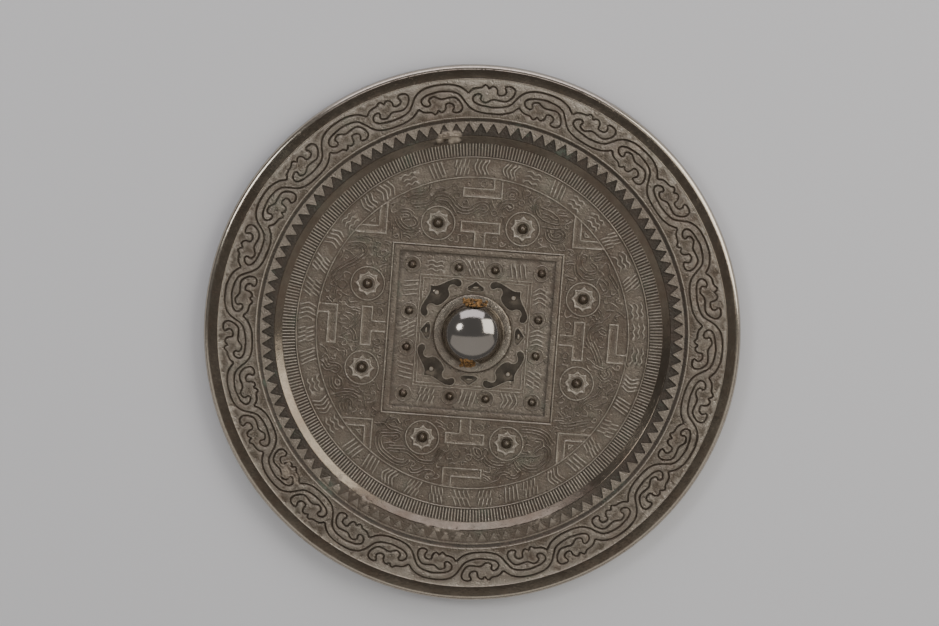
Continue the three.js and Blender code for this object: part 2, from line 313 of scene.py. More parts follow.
# T, L and V marks
marks = {
    "width": 4.0,
    "span": 13.7,
    "stem": 4.95,
    "ellWidth": 3.4,
    "ellReach": 3.7,
    "veeInset": 8.7,
    "veeWidth": 3.0,
    "veeReach": 7,
    "overlap": 1.5,
    "depths": [0, 0.1, 0.28, 0.46, 0.6, 1.15],
    "heights": [0, 0.36, 0.42, 0.36, 0.1, 0.0],
}
stemTop = square["halfSide"] + marks["stem"]
ellFoot = fieldRadius - marks["ellReach"] - marks["ellWidth"]
veeCorner = (fieldRadius - marks["veeInset"]) * math.sqrt(0.5)


def inField(xy):
    within = np.hypot(xy[:, 0], xy[:, 1]) < fieldRadius - 0.3
    return within & (squareDistance(xy) > square["halfSide"] + 0.02)


def castMarks():
    stem, bar, barTop = marks["width"] / 2, marks["span"] / 2, stemTop + marks["width"]
    low, far = square["halfSide"] - marks["overlap"], fieldRadius + marks["overlap"]
    tee = [(-stem, low), (stem, low), (stem, stemTop), (bar, stemTop), (bar, barTop), (-bar, barTop),
           (-bar, stemTop), (-stem, stemTop)]
    armTop, armSide = fieldRadius - marks["ellReach"], bar - marks["ellWidth"]
    ell = [(-bar, ellFoot), (bar, ellFoot), (bar, far), (armSide, far), (armSide, armTop), (-bar, armTop)]
    low, inner, end = veeCorner, veeCorner + marks["veeWidth"], fieldRadius - marks["veeReach"]
    vee = [(low, low), (end, low), (end, inner), (inner, inner), (inner, end), (low, end)]
    for quarter in range(4):
        for outline in (tee, ell, vee):
            addPlate(spin(outline, 90 * quarter), marks["depths"], marks["heights"], inField)


# Large bosses stand on hollow-sided stars in a ring; small bosses stand in plain rings.
# A ring's line is its width and height.
bosses = {
    "circleRadius": 39.9,
    "angle": 21.4,
    "ringRadius": 5.75,
    "ringLine": (0.6, 0.42),
    "starPoint": 4.45,
    "starWaist": 3.5,
    "starPoints": 8,
    "starDepths": [0.02, 0.16, 0.36, 0.6, 1.0],
    "starHeights": [0.04, 0.36, 0.42, 0.3, 0.14],
    "innerRing": 2.55,
    "innerLine": (0.5, 0.22),
    "smallHalfSide": 22.3,
    "smallOffset": 6.25,
    "smallRing": 2.75,
    "smallLine": (0.45, 0.25),
    "profile": [(1.0, -0.4), (1.0, 0.0), (0.82, 0.3), (0.62, 0.62), (0.4, 0.86), (0.18, 0.97), (0.0, 1.0)],
    "largeSize": (1.75, 2.0),
    "smallSize": (1.35, 1.3),
}


def placeBosses():
    reach, large, small = bosses["circleRadius"], [], []
    for quarter in range(4):
        for side in (-1, 1):
            angle = math.radians(90 * quarter + side * bosses["angle"])
            large.append((reach * math.cos(angle), reach * math.sin(angle)))
        for along in (-bosses["smallOffset"], bosses["smallOffset"], bosses["smallHalfSide"]):
            small.append(tuple(spin([(along, bosses["smallHalfSide"])], 90 * quarter)[0]))
    return large, small


largeBosses, smallBosses = placeBosses()
bossSets = ((largeBosses, bosses["largeSize"]), (smallBosses, bosses["smallSize"]))


def starLine(x, y):
    angle = 2 * math.pi * np.arange(48) / 48
    share = np.abs(((angle * bosses["starPoints"] / (2 * math.pi)) % 1) - 0.5) * 2
    radius = bosses["starWaist"] + (bosses["starPoint"] - bosses["starWaist"]) * share ** 1.8
    return np.column_stack([x + radius * np.cos(angle), y + radius * np.sin(angle)])


def castBossSeats():
    for x, y in largeBosses:
        ring = circleLine(x, y, bosses["ringRadius"], 44)
        addThread(ring, *bosses["ringLine"], True, (-0.5, -0.2, 0.2, 0.5))
        addPlate(starLine(x, y), bosses["starDepths"], bosses["starHeights"], smooth=True)
        addThread(circleLine(x, y, bosses["innerRing"], 26), *bosses["innerLine"], True)
    for x, y in smallBosses:
        addThread(circleLine(x, y, bosses["smallRing"], 28), *bosses["smallLine"], True)


# Four leaves round the knob with an eye in each, and a bud with a seed between each two.
# The half outlines run along +X, the bud's from its own middle.
leaf = {
    "half": [(22.3, 0), (20.9, 1.6), (20.1, 3.6), (19.5, 5.8), (18.6, 7.9), (17.1, 9.2), (15.4, 9.0),
             (14.6, 7.7), (15.3, 6.5), (16.7, 5.9), (17.2, 4.9), (16.6, 3.9), (15.4, 3.4), (14.7, 2.5),
             (14.3, 1.0)],
    "depths": [0.02, 0.16, 0.38, 0.55],
    "heights": [0.05, 0.4, 0.42, -0.12],
    "spacing": 0.5,
    "eyePlace": 18.7,
    "eyeRadius": 1.0,
    "eyeDepths": [0.05, 0.35, 0.6],
    "eyeHeights": [0.0, 0.36, 0.4],
    "budRadius": 16.0,
    "bud": [(2.3, 0), (1.2, 1.6), (0.2, 3.0), (-1.0, 3.3), (-1.7, 2.0), (-1.8, 0)],
    "seedSize": (0.62, 1.2),
    "seedInset": 0.1,
    "seedDepths": [0.05, 0.35],
    "seedHeights": [0.0, 0.5],
}


# A closed outline from the half of it above the X axis
def twoSided(half, degrees):
    mirrored = [(x, -y) for x, y in half[::-1] if y]
    return spin(smoothLine(half + mirrored, leaf["spacing"], True), degrees)


def leafOutline(quarter):
    return twoSided(leaf["half"], 45 + 90 * quarter)


def budOutline(quarter):
    return twoSided([(leaf["budRadius"] + x, y) for x, y in leaf["bud"]], 90 * quarter)


def castLeaves():
    for quarter in range(4):
        addPlate(leafOutline(quarter), leaf["depths"], leaf["heights"], smooth=True)
        eye = spin([(leaf["eyePlace"], 0)], 45 + 90 * quarter)[0]
        eyeLine = circleLine(eye[0], eye[1], leaf["eyeRadius"], 14)
        addPlate(eyeLine, leaf["eyeDepths"], leaf["eyeHeights"], smooth=True)
        addPlate(budOutline(quarter), leaf["depths"], leaf["heights"], smooth=True)
        seed = spin([(leaf["budRadius"] - leaf["seedInset"], 0)], 90 * quarter)[0]
        seedLine = spin(circleLine(0, 0, 1, 16) * leaf["seedSize"], 90 * quarter) + seed
        addPlate(seedLine, leaf["seedDepths"], leaf["seedHeights"], smooth=True)


# Creatures and clouds of the field, as lines in millimetres from the centre.
# They are simple curling bodies, wings and tails, and lie where the worn casting has them.
creatures = {
    "top": [
        [(-23.2, 42.1), (-21.0, 42.3), (-18.5, 42.9), (-16.7, 44.5), (-16.4, 45.9)],
        [(-15.9, 46.1), (-13.7, 46.6), (-11.2, 45.9), (-9.2, 43.7), (-6.8, 42.1), (-3.9, 42.3), (-1.7, 43.9),
         (0.5, 44.7), (2.1, 43.7), (1.9, 42.3), (0.5, 41.7)],
        [(-15.9, 44.7), (-13.7, 45.1), (-11.6, 44.5), (-10.0, 42.9), (-8.9, 41.2)],
        [(-25.4, 45.2), (-23.8, 46.0), (-21.8, 46.4), (-19.7, 47.0), (-18.9, 49.0)],
        [(-28.6, 38.0), (-27.6, 36.0), (-25.4, 34.4), (-23.0, 34.4), (-21.4, 35.8), (-21.8, 37.6),
         (-23.4, 39.0)],
        [(-27.3, 40.0), (-25.4, 40.2), (-23.8, 39.2), (-24.2, 37.6), (-25.8, 37.2)],
        [(8.4, 48.4), (9.0, 49.6), (10.7, 49.8), (11.7, 48.6), (11.1, 47.1), (9.8, 47.1)],
        [(6.4, 43.7), (7.2, 44.9), (8.6, 45.7), (10.3, 45.3), (10.9, 44.1), (9.6, 42.9), (8.4, 43.7)],
        [(18.8, 45.9), (18.6, 44.1), (19.6, 42.1), (21.6, 40.6), (24.5, 39.8), (26.7, 39.6), (26.9, 41.3),
         (25.3, 42.9), (23.2, 44.1), (20.8, 44.9)],
        [(21.2, 42.9), (23.2, 42.5), (25.3, 41.3)],
        [(23.2, 36.8), (24.0, 34.8), (26.1, 34.0), (28.1, 34.8), (28.5, 36.4), (26.9, 37.2), (25.3, 36.4)],
        [(22.4, 38.4), (25.3, 38.0), (27.3, 38.4)],
    ],
    "bottom": [
        [(-29.4, -37.5), (-28.6, -36.6), (-25.7, -36.5), (-23.1, -36.2), (-22.1, -36.8), (-22.1, -38.1),
         (-23.6, -39.1)],
        [(-29.6, -38.4), (-29.6, -39.8), (-28.6, -42.3), (-26.1, -44.4), (-23.1, -46.1), (-20.2, -46.3),
         (-19.4, -45.4)],
        [(-25.7, -41.7), (-22.3, -41.7), (-19.4, -41.9), (-16.8, -43.4), (-15.2, -44.6), (-12.6, -45.2),
         (-10.5, -44.8), (-9.3, -42.7), (-8.4, -41.0)],
        [(-27.9, -33.2), (-26.0, -34.9), (-23.6, -35.3), (-22.1, -35.9)],
        [(-26.9, -32.6), (-25.2, -31.2), (-23.6, -31.4), (-22.7, -32.6)],
        [(-18.5, -48.6), (-17.3, -49.7), (-15.2, -49.4), (-13.1, -48.2)],
        [(3.3, -39.8), (3.8, -41.5), (5.4, -42.7), (6.3, -41.5), (5.4, -39.8), (3.8, -39.4)],
        [(7.5, -42.2), (8.4, -43.6), (10.9, -44.8), (13.9, -44.8), (16.4, -44.0), (17.8, -42.7),
         (19.3, -41.5), (21.8, -41.0), (24.8, -41.0), (26.5, -40.2)],
        [(17.8, -43.6), (18.9, -45.2), (20.4, -46.5), (19.3, -48.6), (17.2, -49.2), (15.5, -48.6)],
        [(27.7, -37.2), (29.2, -38.5), (29.2, -41.0), (28.1, -43.0), (25.6, -45.0), (22.7, -45.2),
         (20.6, -44.4)],
        [(19.7, -31.8), (22.3, -31.8), (25.6, -32.2), (28.2, -33.5), (29.6, -35.6)],
        [(24.8, -34.7), (26.9, -35.1), (27.3, -37.2), (25.6, -38.5), (24.8, -39.6)],
        [(12.0, -49.4), (12.6, -47.8), (14.3, -47.0), (16.4, -47.4)],
    ],
    "right": [
        [(34.1, 26.0), (34.7, 23.6), (36.7, 21.8), (39.2, 21.4), (40.8, 22.0)],
        [(35.9, 24.8), (37.1, 23.6), (39.2, 23.4), (41.0, 24.2), (41.2, 26.0), (39.6, 27.3)],
        [(43.2, 21.6), (44.8, 20.0), (44.0, 17.9), (42.6, 20.0)],
        [(46.1, 24.0), (47.8, 21.6), (49.2, 19.4)],
        [(41.0, -1.1), (39.7, 1.3), (39.8, 4.2), (41.6, 6.2), (44.0, 7.0)],
        [(44.4, -6.8), (42.8, -3.1), (41.2, -0.3)],
        [(38.3, -23.8), (39.4, -21.0), (41.6, -19.4), (44.0, -18.2), (45.2, -16.1)],
        [(32.7, -29.7), (35.9, -29.5), (38.8, -28.7), (41.6, -28.0)],
        [(44.8, -10.8), (46.6, -12.4), (48.2, -10.9), (47.4, -9.6)],
    ],
    "left": [
        [(-48.9, 16.7), (-47.3, 18.7), (-44.9, 20.4), (-42.0, 22.0), (-39.6, 24.4)],
        [(-43.7, 27.3), (-41.2, 27.7), (-39.2, 26.9), (-38.8, 24.8), (-40.8, 23.2)],
        [(-50.2, -13.7), (-48.9, -15.3), (-46.9, -14.5), (-44.9, -15.3), (-45.7, -16.9), (-47.3, -16.5)],
        [(-47.0, -19.0), (-46.5, -21.4), (-44.9, -22.6), (-43.3, -21.4), (-43.5, -19.4), (-44.9, -18.2)],
        [(-45.4, -24.2), (-42.9, -23.4), (-40.0, -23.4), (-38.0, -24.2)],
        [(-42.2, -29.6), (-42.9, -27.5), (-41.6, -25.5), (-39.6, -26.3), (-39.2, -28.3)],
        [(-41.6, -0.7), (-40.2, 1.3), (-39.4, 3.7)],
        [(-41.2, -1.3), (-40.2, -2.7), (-39.6, -4.8)],
    ],
}
fieldLines = {
    "width": 0.62,
    "height": 0.38,
    "spacing": 0.42,
    "echo": 1.0,
    "echoGap": 0.85,
    "ringLine": (0.42, 0.26),
    "rings": [(-9.4, 49.6, 0.9), (-8.6, 47.1, 1.0), (13.5, 46.1, 0.9), (4.4, 41.9, 1.0), (0.1, 51.6, 1.0),
              (-2.3, -41.9, 1.4), (1.9, -42.9, 1.1), (-45.7, 13.7, 1.5), (-45.1, -20.2, 0.9),
              (44.2, 1.6, 0.7)],
    "stemRings": [(-5.2, 32.5), (5.2, 32.5)],
    "stemRingRadius": 1.15,
    "cornerSide": 2.3,
    "cornerDepths": [0.0, 0.15, 0.35, 0.5],
    "cornerHeights": [0, 0.3, 0.3, 0.05],
}


def castFieldLines():
    lines = [smoothLine(points, fieldLines["spacing"]) for side in creatures.values() for points in side]
    for line in lines:
        addThread(line, fieldLines["width"], fieldLines["height"])
    main = np.vstack([samples[::4, :2] for samples in threads if samples[0, 3] > 0])
    for line in lines:
        for offset in (-fieldLines["echo"], fieldLines["echo"]):
            echo = sideLine(line, offset)
            gaps = np.linalg.norm(echo[:, None] - main[None], axis=2).min(1)
            free = [gap > fieldLines["echoGap"] and outlineClear(p, 0.0) for gap, p in zip(gaps, echo)]
            start = next((i for i, flag in enumerate(free) if flag), 0)
            stop = next((i for i in range(start, len(free)) if not free[i]), len(free))
            if stop - start > 4:
                addThread(echo[start:stop], filler["width"], filler["height"])
                main = np.vstack([main, echo[start:stop]])
    for x, y, radius in fieldLines["rings"]:
        addThread(circleLine(x, y, radius, 14), *fieldLines["ringLine"], True)
    for quarter in range(4):
        for x, y in spin(fieldLines["stemRings"], 90 * quarter):
            addThread(circleLine(x, y, fieldLines["stemRingRadius"], 16), *fieldLines["ringLine"], True)
        corner = veeCorner + marks["veeWidth"] + 0.9
        end = corner + fieldLines["cornerSide"]
        small = [(corner, corner), (end, corner), (corner, end)]
        addPlate(spin(small, 90 * quarter), fieldLines["cornerDepths"], fieldLines["cornerHeights"])


# Small curls that fill the gaps between the larger lines, drawn here at size one
filler = {
    "seed": 41,
    "tries": 20000,
    "reach": 52,
    "gap": 0.68,
    "bossGap": 1.0,
    "width": 0.5,
    "height": 0.3,
    "spacing": 0.36,
    "kinds": ["comma", "comma", "ess", "spiral", "tick", "ticks"],
    "comma": [[(0, 0), (1, 0.5), (1.4, 1.4), (0.6, 1.9)]],
    "ess": [[(-1, -0.8), (-0.3, -1.1), (0.1, -0.3), (0.5, 0.7), (1.2, 0.5)]],
    "spiral": [[(0.2, 0.1), (-0.3, 0.4), (-0.7, -0.2), (0, -0.9), (0.9, -0.4), (1.1, 0.8)]],
    "tick": [[(-1, 0), (0, 0.15), (1, 0)]],
    "ticks": [[(-1, k * 0.85), (0, k * 0.85 + 0.12), (0.9, k * 0.85)] for k in (-0.5, 0.5)],
}


# The pair of ticks is stretched along its length alone
def curlShape(rng):
    kind = rng.choice(filler["kinds"])
    size = rng.uniform(0.75, 1.35)
    return [np.array(line) * (size, 1 if kind == "ticks" else size) for line in filler[kind]]


# Whether a spot of a given radius in the field keeps clear of its edge, the frame and the marks
def outlineClear(point, radius):
    x, y = abs(point[0]), abs(point[1])
    if math.hypot(x, y) > fieldRadius - 1.0 - radius or max(x, y) < square["halfSide"] + 0.9 + radius:
        return False
    near, far = min(x, y), max(x, y)
    if near < marks["width"] / 2 + 0.5 + radius and far < stemTop:
        return False
    inBar = near < marks["span"] / 2 + 0.5 + radius
    if inBar and stemTop - 0.6 - radius < far < stemTop + marks["width"] + 0.6 + radius:
        return False
    if inBar and far > ellFoot - 0.5 - radius:
        return False
    corner = veeCorner - 0.6 - radius
    return not (x > corner and y > corner)


# Keeps a grid of the points already taken, so that a new curl stays clear of them
def fillField():
    rng = random.Random(filler["seed"])
    reach, taken = filler["reach"], {}

    def markTaken(points):
        for x, y in points:
            taken.setdefault((int(x // 1), int(y // 1)), []).append((x, y))

    def isFree(points):
        for x, y in points:
            for i in (-1, 0, 1):
                for j in (-1, 0, 1):
                    for a, b in taken.get((int(x // 1) + i, int(y // 1) + j), ()):
                        if math.hypot(a - x, b - y) < filler["gap"]:
                            return False
        return True

    for samples in threads:
        markTaken(samples[::3, :2])
    for x, y in largeBosses:
        markTaken(circleLine(x, y, bosses["ringRadius"] - 0.15, 60))
    for _ in range(filler["tries"]):
        x, y = rng.uniform(-reach, reach), rng.uniform(-reach, reach)
        if not outlineClear((x, y), 0.3):
            continue
        if any(math.hypot(x - a, y - b) < bosses["ringRadius"] + filler["bossGap"] for a, b in largeBosses):
            continue
        turn, flip = rng.uniform(0, 360), rng.random() < 0.5
        lines = [smoothLine(spin(part, turn, flip) + (x, y), filler["spacing"]) for part in curlShape(rng)]
        everything = np.vstack(lines)
        if all(outlineClear(p, 0.0) for p in everything) and isFree(everything):
            for line in lines:
                addThread(line, filler["width"], filler["height"] * rng.uniform(0.7, 1.1))
            markTaken(everything)


# Two bands of short strokes, which are no letters: round the field, and inside the frame
strokes = {
    "seed": 77,
    "cells": 42,
    "width": 5.6,
    "height": 5.2,
    "frameHeight": 4.6,
    "frameSpacing": 14.3,
    "line": (0.7, 0.4),
    "shares": (-0.5, -0.17, 0.17, 0.5),
    "spacing": 0.55,
}


# One group of slanted, wavy, short or bowed strokes, which never cross
def strokeCell(rng, width, height):
    w, h = width / 2, height / 2
    lines = []
    kind = rng.choice(["slants", "waves", "ticks", "bows"])
    lean = rng.choice([-1, 1]) * rng.uniform(0.3, 0.5)
    columns = [(k - 1.5) * 0.56 * w for k in range(4)]
    if kind == "slants":
        for u in columns:
            low, high = rng.uniform(0.6, 0.95) * h, rng.uniform(0.6, 0.95) * h
            lines.append([(u - lean, -low), (u, 0), (u + lean, high)])
    if kind == "waves":
        for v in (-0.64 * h, 0, 0.64 * h):
            wave = ((-0.9, 0), (-0.4, 0.4), (0.1, -0.3), (0.6, 0.3), (0.9, 0))
            lines.append([(share * w, v + lift) for share, lift in wave])
    if kind == "ticks":
        for u in columns:
            for v in (-0.52 * h, 0.52 * h):
                lines.append([(u - 0.8 * lean, v - 0.34 * h), (u, v), (u + 0.8 * lean, v + 0.34 * h)])
    if kind == "bows":
        for u in columns:
            reach = rng.uniform(0.65, 0.95) * h
            lines.append([(u - lean, -reach), (u + lean, 0), (u - lean, reach)])
    return lines


def castStrokes(lines, place):
    for part in lines:
        line = smoothLine([place(u, v) for u, v in part], strokes["spacing"])
        addThread(line, *strokes["line"], False, strokes["shares"])


def castStrokeBands():
    rng = random.Random(strokes["seed"])
    middle = (combInner + fieldRadius) / 2
    for cell in range(strokes["cells"]):
        angle = 2 * math.pi * (cell + 0.5 + rng.uniform(-0.12, 0.12)) / strokes["cells"]
        width = strokes["width"] * rng.uniform(0.8, 1.0)

        def inRing(u, v, angle=angle):
            turn = angle - u / middle
            return ((middle + v) * math.cos(turn), (middle + v) * math.sin(turn))

        castStrokes(strokeCell(rng, width, strokes["height"]), inRing)
    for quarter in range(4):
        for along in (-strokes["frameSpacing"], 0, strokes["frameSpacing"]):
            def inFrame(u, v, quarter=quarter, along=along):
                return tuple(spin([(along + u, bosses["smallHalfSide"] + v)], 90 * quarter)[0])

            castStrokes(strokeCell(rng, strokes["width"], strokes["frameHeight"]), inFrame)


# Patches of hard soil and corrosion: angle, radius, spread, how many lumps, height
crustPatches = [(101.2, 68.5, 1.9, 34, 0.7), (115.3, 80.9, 0.25, 3, 0.22), (221.0, 79.6, 2.3, 40, 0.2),
                (240.0, 69.0, 6.0, 26, 0.12), (268.0, 68.8, 7.0, 30, 0.12), (297.0, 68.8, 6.0, 22, 0.12)]


# Each lump is its angle, radius, length along, width across and height
def scatterCrust():
    rng = random.Random(19)
    lumps = []
    for angle, r, spread, count, rise in crustPatches:
        for _ in range(count):
            along, across = rng.gauss(0, spread), rng.gauss(0, min(1.1, 0.5 * spread))
            size = rng.uniform(0.3, 0.85) * min(1, 2 * spread)
            lumps.append((angle + math.degrees(along / r), r + across, size, size * rng.uniform(0.5, 1),
                          rise * rng.uniform(0.4, 1)))
    return lumps


crust = scatterCrust()

baseProfile = [
    (0, seatLevel),
    (knob["seatRadius"] - 0.55, seatLevel),
    (knob["seatRadius"] - 0.2, seatLevel - 0.16),
    (knob["seatRadius"], fieldLevel + 0.35),
    (knob["seatRadius"] + 0.06, fieldLevel),
    (combInner - 0.3, fieldLevel),
    (combInner, fieldLevel + 0.02),
    (combOuter - 0.35, combLevel - 0.06),
    (combOuter, combLevel + 0.04),
    (combOuter + 0.22, combLevel + 0.19),
    (combOuter + 0.45, combLevel + 0.345),
    (bevelRadius - 0.32, bevelLevel - 0.18),
    (bevelRadius - 0.1, bevelLevel - 0.03),
    (bevelRadius + 0.1, bevelLevel),
    (sawOuter - 0.78, sawFloor),
    (sawOuter - 0.62, toothLevel),
    (sawOuter - 0.3, toothLevel),
    (sawOuter - 0.02, toothLevel - 0.03),
    (sawOuter + 0.25, toothLevel + 0.03),
    (sawOuter + 0.68, toothLevel + 0.2),
    (scrollInner - 0.15, scrollLevel - 0.08),
    (scrollInner + 0.12, scrollLevel + 0.06),
    (scrollInner + 0.42, scrollLevel),
    (rimInner - 0.2, scrollLevel),
    (rimInner + 0.02, rimLevel - 0.04),
    (rimInner + 0.15, rimLevel),
    (backRadius - disc["edgeRound"], rimLevel),
]
profileRadii, profileHeights = (np.array(column) for column in zip(*baseProfile))


def castRings():
    for radius, _ in baseProfile[1:-1]:
        count = 96 if radius < 20 else disc["sides"]
        addGuide(circleLine(0, 0, radius, count), True)
    for radius in (combInner, fieldRadius):
        addThread(circleLine(0, 0, radius, disc["sides"]), 0.62, 0.42, True, (-0.5, -0.18, 0.18, 0.5))


# The distance inwards from an outline, or below zero outside it
def insideDepth(xy, outline):
    depth = np.full(len(xy), -1.0)
    near = np.where(((xy > outline.min(0)) & (xy < outline.max(0))).all(1))[0]
    if len(near) == 0:
        return depth
    p = xy[near][:, None, :]
    a, b = outline, np.roll(outline, -1, 0)
    ab = b - a
    t = np.clip(((p - a) * ab).sum(2) / (ab ** 2).sum(1), 0, 1)
    gap = np.linalg.norm(p - (a + ab * t[..., None]), axis=2).min(1)
    crosses = (a[:, 1] > p[..., 1]) != (b[:, 1] > p[..., 1])
    rise = np.where(np.abs(ab[:, 1]) < 1e-12, 1e-12, ab[:, 1])
    where = a[:, 0] + (p[..., 1] - a[:, 1]) * ab[:, 0] / rise
    inside = (crosses & (p[..., 0] < where)).sum(1) % 2 == 1
    depth[near[inside]] = gap[inside]
    return depth


def buildThreadTree():
    samples = np.vstack(threads)
    tree = kdtree.KDTree(len(samples))
    for i, (x, y) in enumerate(samples[:, :2]):
        tree.insert((x, y, 0), i)
    tree.balance()
    return samples, tree


def threadHeights(xy, samples, tree):
    gap = np.zeros(len(xy))
    which = np.zeros(len(xy), int)
    for i, (x, y) in enumerate(xy):
        _, which[i], gap[i] = tree.find((x, y, 0))
    width, height = samples[which, 2], samples[which, 3]
    share = np.clip(2 * gap / width, 0, 1)
    beyond = (gap - width / 2 - scroll["lipWidth"]) / scroll["lipWidth"]
    lip = np.where(height < 0, scroll["lipHeight"] * np.exp(-beyond ** 2), 0)
    return height * (1 - share ** 2) + lip, gap - width / 2, height


def wornNoise(xy, size, seed):
    return np.array([noise.noise((x / size, y / size, seed)) for x, y in xy])


# Height of the cast surface above the resting plane, in millimetres
def reliefHeight(xy, samples, tree):
    radius = np.hypot(xy[:, 0], xy[:, 1])
    height = np.interp(radius, profileRadii, profileHeights)
    reach = squareDistance(xy)
    detail = np.zeros(len(xy))
    for half, depths, heights in squares:
        detail += np.interp(half - reach, depths, heights, left=0, right=0)
    for outline, depths, heights, keep in plates:
        depth = insideDepth(xy, outline)
        if keep is not None:
            depth = np.where(keep(xy), depth, -1)
        raised = np.interp(depth, depths, heights, left=0)
        detail = np.where(depth > 0, raised, detail)
    thread, _, _ = threadHeights(xy, samples, tree)
    wear = 1 + 0.45 * wornNoise(xy, 9.0, 3.1)
    height += detail + np.where(thread < 0, thread, thread * wear)
    height += 0.06 * wornNoise(xy, 5.0, 7.7) + 0.05 * wornNoise(xy, 1.5, 2.2)
    return height + crustHeight(xy)


def crustHeight(xy):
    height = np.zeros(len(xy))
    for angle, r, along, across, rise in crust:
        centre = (r * math.cos(math.radians(angle)), r * math.sin(math.radians(angle)))
        local = spin(xy - centre, -angle)
        near = np.where(np.hypot(local[:, 0], local[:, 1]) < 3 * max(along, across))[0]
        fade = np.exp(-(local[near, 0] / across) ** 2 - (local[near, 1] / along) ** 2)
        height[near] += rise * fade * (1 + 0.9 * wornNoise(xy[near], 0.7, 5.5))
    return height


# Loose points for the plain areas, well clear of the guide lines, and denser ones round the lumps
loose = {
    "seed": 12,
    "spacing": 1.85,
    "rowShare": 0.87,
    "jitter": 0.2,
    "clearance": 0.5,
    "lumpClearance": 0.16,
}


def freePoints():
    rng = random.Random(loose["seed"])
    spacing, shift = loose["spacing"], loose["jitter"]
    tree = kdtree.KDTree(sum(len(line) for line, _ in guides))
    for i, (x, y) in enumerate(point for line, _ in guides for point in line):
        tree.insert((x, y, 0), i)
    tree.balance()
    limit = backRadius - disc["edgeRound"] - 0.4
    points = []
    rows = int(limit / spacing) + 1
    for row in range(-rows, rows + 1):
        for column in range(-rows, rows + 1):
            x = (column + 0.5 * (row % 2)) * spacing + rng.uniform(-shift, shift) * spacing
            y = row * spacing * loose["rowShare"] + rng.uniform(-shift, shift) * spacing
            if math.hypot(x, y) < limit and tree.find((x, y, 0))[2] > loose["clearance"]:
                points.append((x, y))
    for angle, r, along, across, _ in crust:
        cx, cy = r * math.cos(math.radians(angle)), r * math.sin(math.radians(angle))
        for _ in range(int(22 * along * across) + 6):
            x, y = cx + rng.gauss(0, 0.8 * along), cy + rng.gauss(0, 0.8 * along)
            if tree.find((x, y, 0))[2] > loose["lumpClearance"]:
                points.append((x, y))
    return points


# The whole disc as one closed mesh: the relief on top, then the rim's side and the convex face
def buildDisc():
    outer = circleLine(0, 0, backRadius - disc["edgeRound"], disc["sides"])
    points = [Vector(p) for p in outer]
    edges = [(i, (i + 1) % disc["sides"]) for i in range(disc["sides"])]
    for line, closed in guides:
        start = len(points)
        points.extend(Vector(p) for p in line)
        edges.extend((start + i, start + i + 1) for i in range(len(line) - 1))
        if closed:
            edges.append((start + len(line) - 1, start))
    points.extend(Vector(p) for p in freePoints())
    report(f"{len(points)} relief points, {len(edges)} guide edges")
    flat, _, faces, origins, _, _ = delaunay_2d_cdt(points, edges, [], 0, 1e-3)
    report(f"relief triangulated into {len(faces)} faces")
    xy = np.array([(v.x, v.y) for v in flat])
    samples, tree = buildThreadTree()
    z = reliefHeight(xy, samples, tree)
    rimVertex = {}
    for index, inputs in enumerate(origins):
        for original in inputs:
            if original < disc["sides"]:
                rimVertex[original] = index
    vertices = [(x * mm, y * mm, h * mm) for (x, y), h in zip(xy, z)]
    last = [rimVertex[i] for i in range(disc["sides"])]
    for i in last:
        vertices[i] = (vertices[i][0], vertices[i][1], rimLevel * mm)
    faces = [tuple(face) for face in faces]
    for radius, height in sideProfile():
        ring = []
        for x, y in circleLine(0, 0, radius, disc["sides"]):
            ring.append(len(vertices))
            vertices.append((x * mm, y * mm, height * mm))
        for i in range(disc["sides"]):
            j = (i + 1) % disc["sides"]
            faces.append((last[j], last[i], ring[i]))
            faces.append((last[j], ring[i], ring[j]))
        last = ring
    middle = len(vertices)
    vertices.append((0, 0, 0))
    for i in range(disc["sides"]):
        faces.append((last[(i + 1) % disc["sides"]], last[i], middle))
    return makeMesh("mirrorDisc", vertices, faces), samples, tree


# From the rim's top edge, over its rounding, down the side and across the face to its flat spot
def sideProfile():
    edge, back, flat = disc["radius"], backRadius, disc["flatSpotRadius"]
    points = [(back - 0.95, rimLevel - 0.07), (back - 0.6, rimLevel - 0.2), (back - 0.3, rimLevel - 0.38),
              (back, rimLevel - 0.65), (back + 0.2, rimLevel - 1.0), (back + 0.35, rimLevel - 1.7),
              (edge - 0.05, rimLevel / 2 - 0.5), (edge, disc["faceRise"] + 0.4),
              (edge - 0.1, disc["faceRise"] + 0.16)]
    outer = edge - 0.4
    for step in range(7):
        radius = outer + (flat - outer) * step / 6
        points.append((radius, disc["faceRise"] * (radius ** 2 - flat ** 2) / (outer ** 2 - flat ** 2)))
    return points


def makeMesh(name, vertices, faces):
    mesh = bpy.data.meshes.new(name)
    mesh.from_pydata(vertices, [], faces)
    mesh.update()
    mesh.validate()
    return addObject(name, mesh)


def fixNormals(obj):
    work = bmesh.new()
    work.from_mesh(obj.data)
    bmesh.ops.recalc_face_normals(work, faces=work.faces)
    work.to_mesh(obj.data)
    work.free()


# Rings of points (x, y, z) in millimetres, joined one to the next and closed at both ends
def loftMesh(name, rings):
    count = len(rings[0])
    vertices = [(x * mm, y * mm, z * mm) for ring in rings for x, y, z in ring]
    faces = []
    for start in range(0, len(vertices) - count, count):
        for i in range(count):
            a, b = start + i, start + (i + 1) % count
            faces.append((a, a + count, b + count, b))
    faces.append(tuple(range(count)))
    faces.append(tuple(range(len(vertices) - 1, len(vertices) - count - 1, -1)))
    loft = makeMesh(name, vertices, faces)
    fixNormals(loft)
    return loft


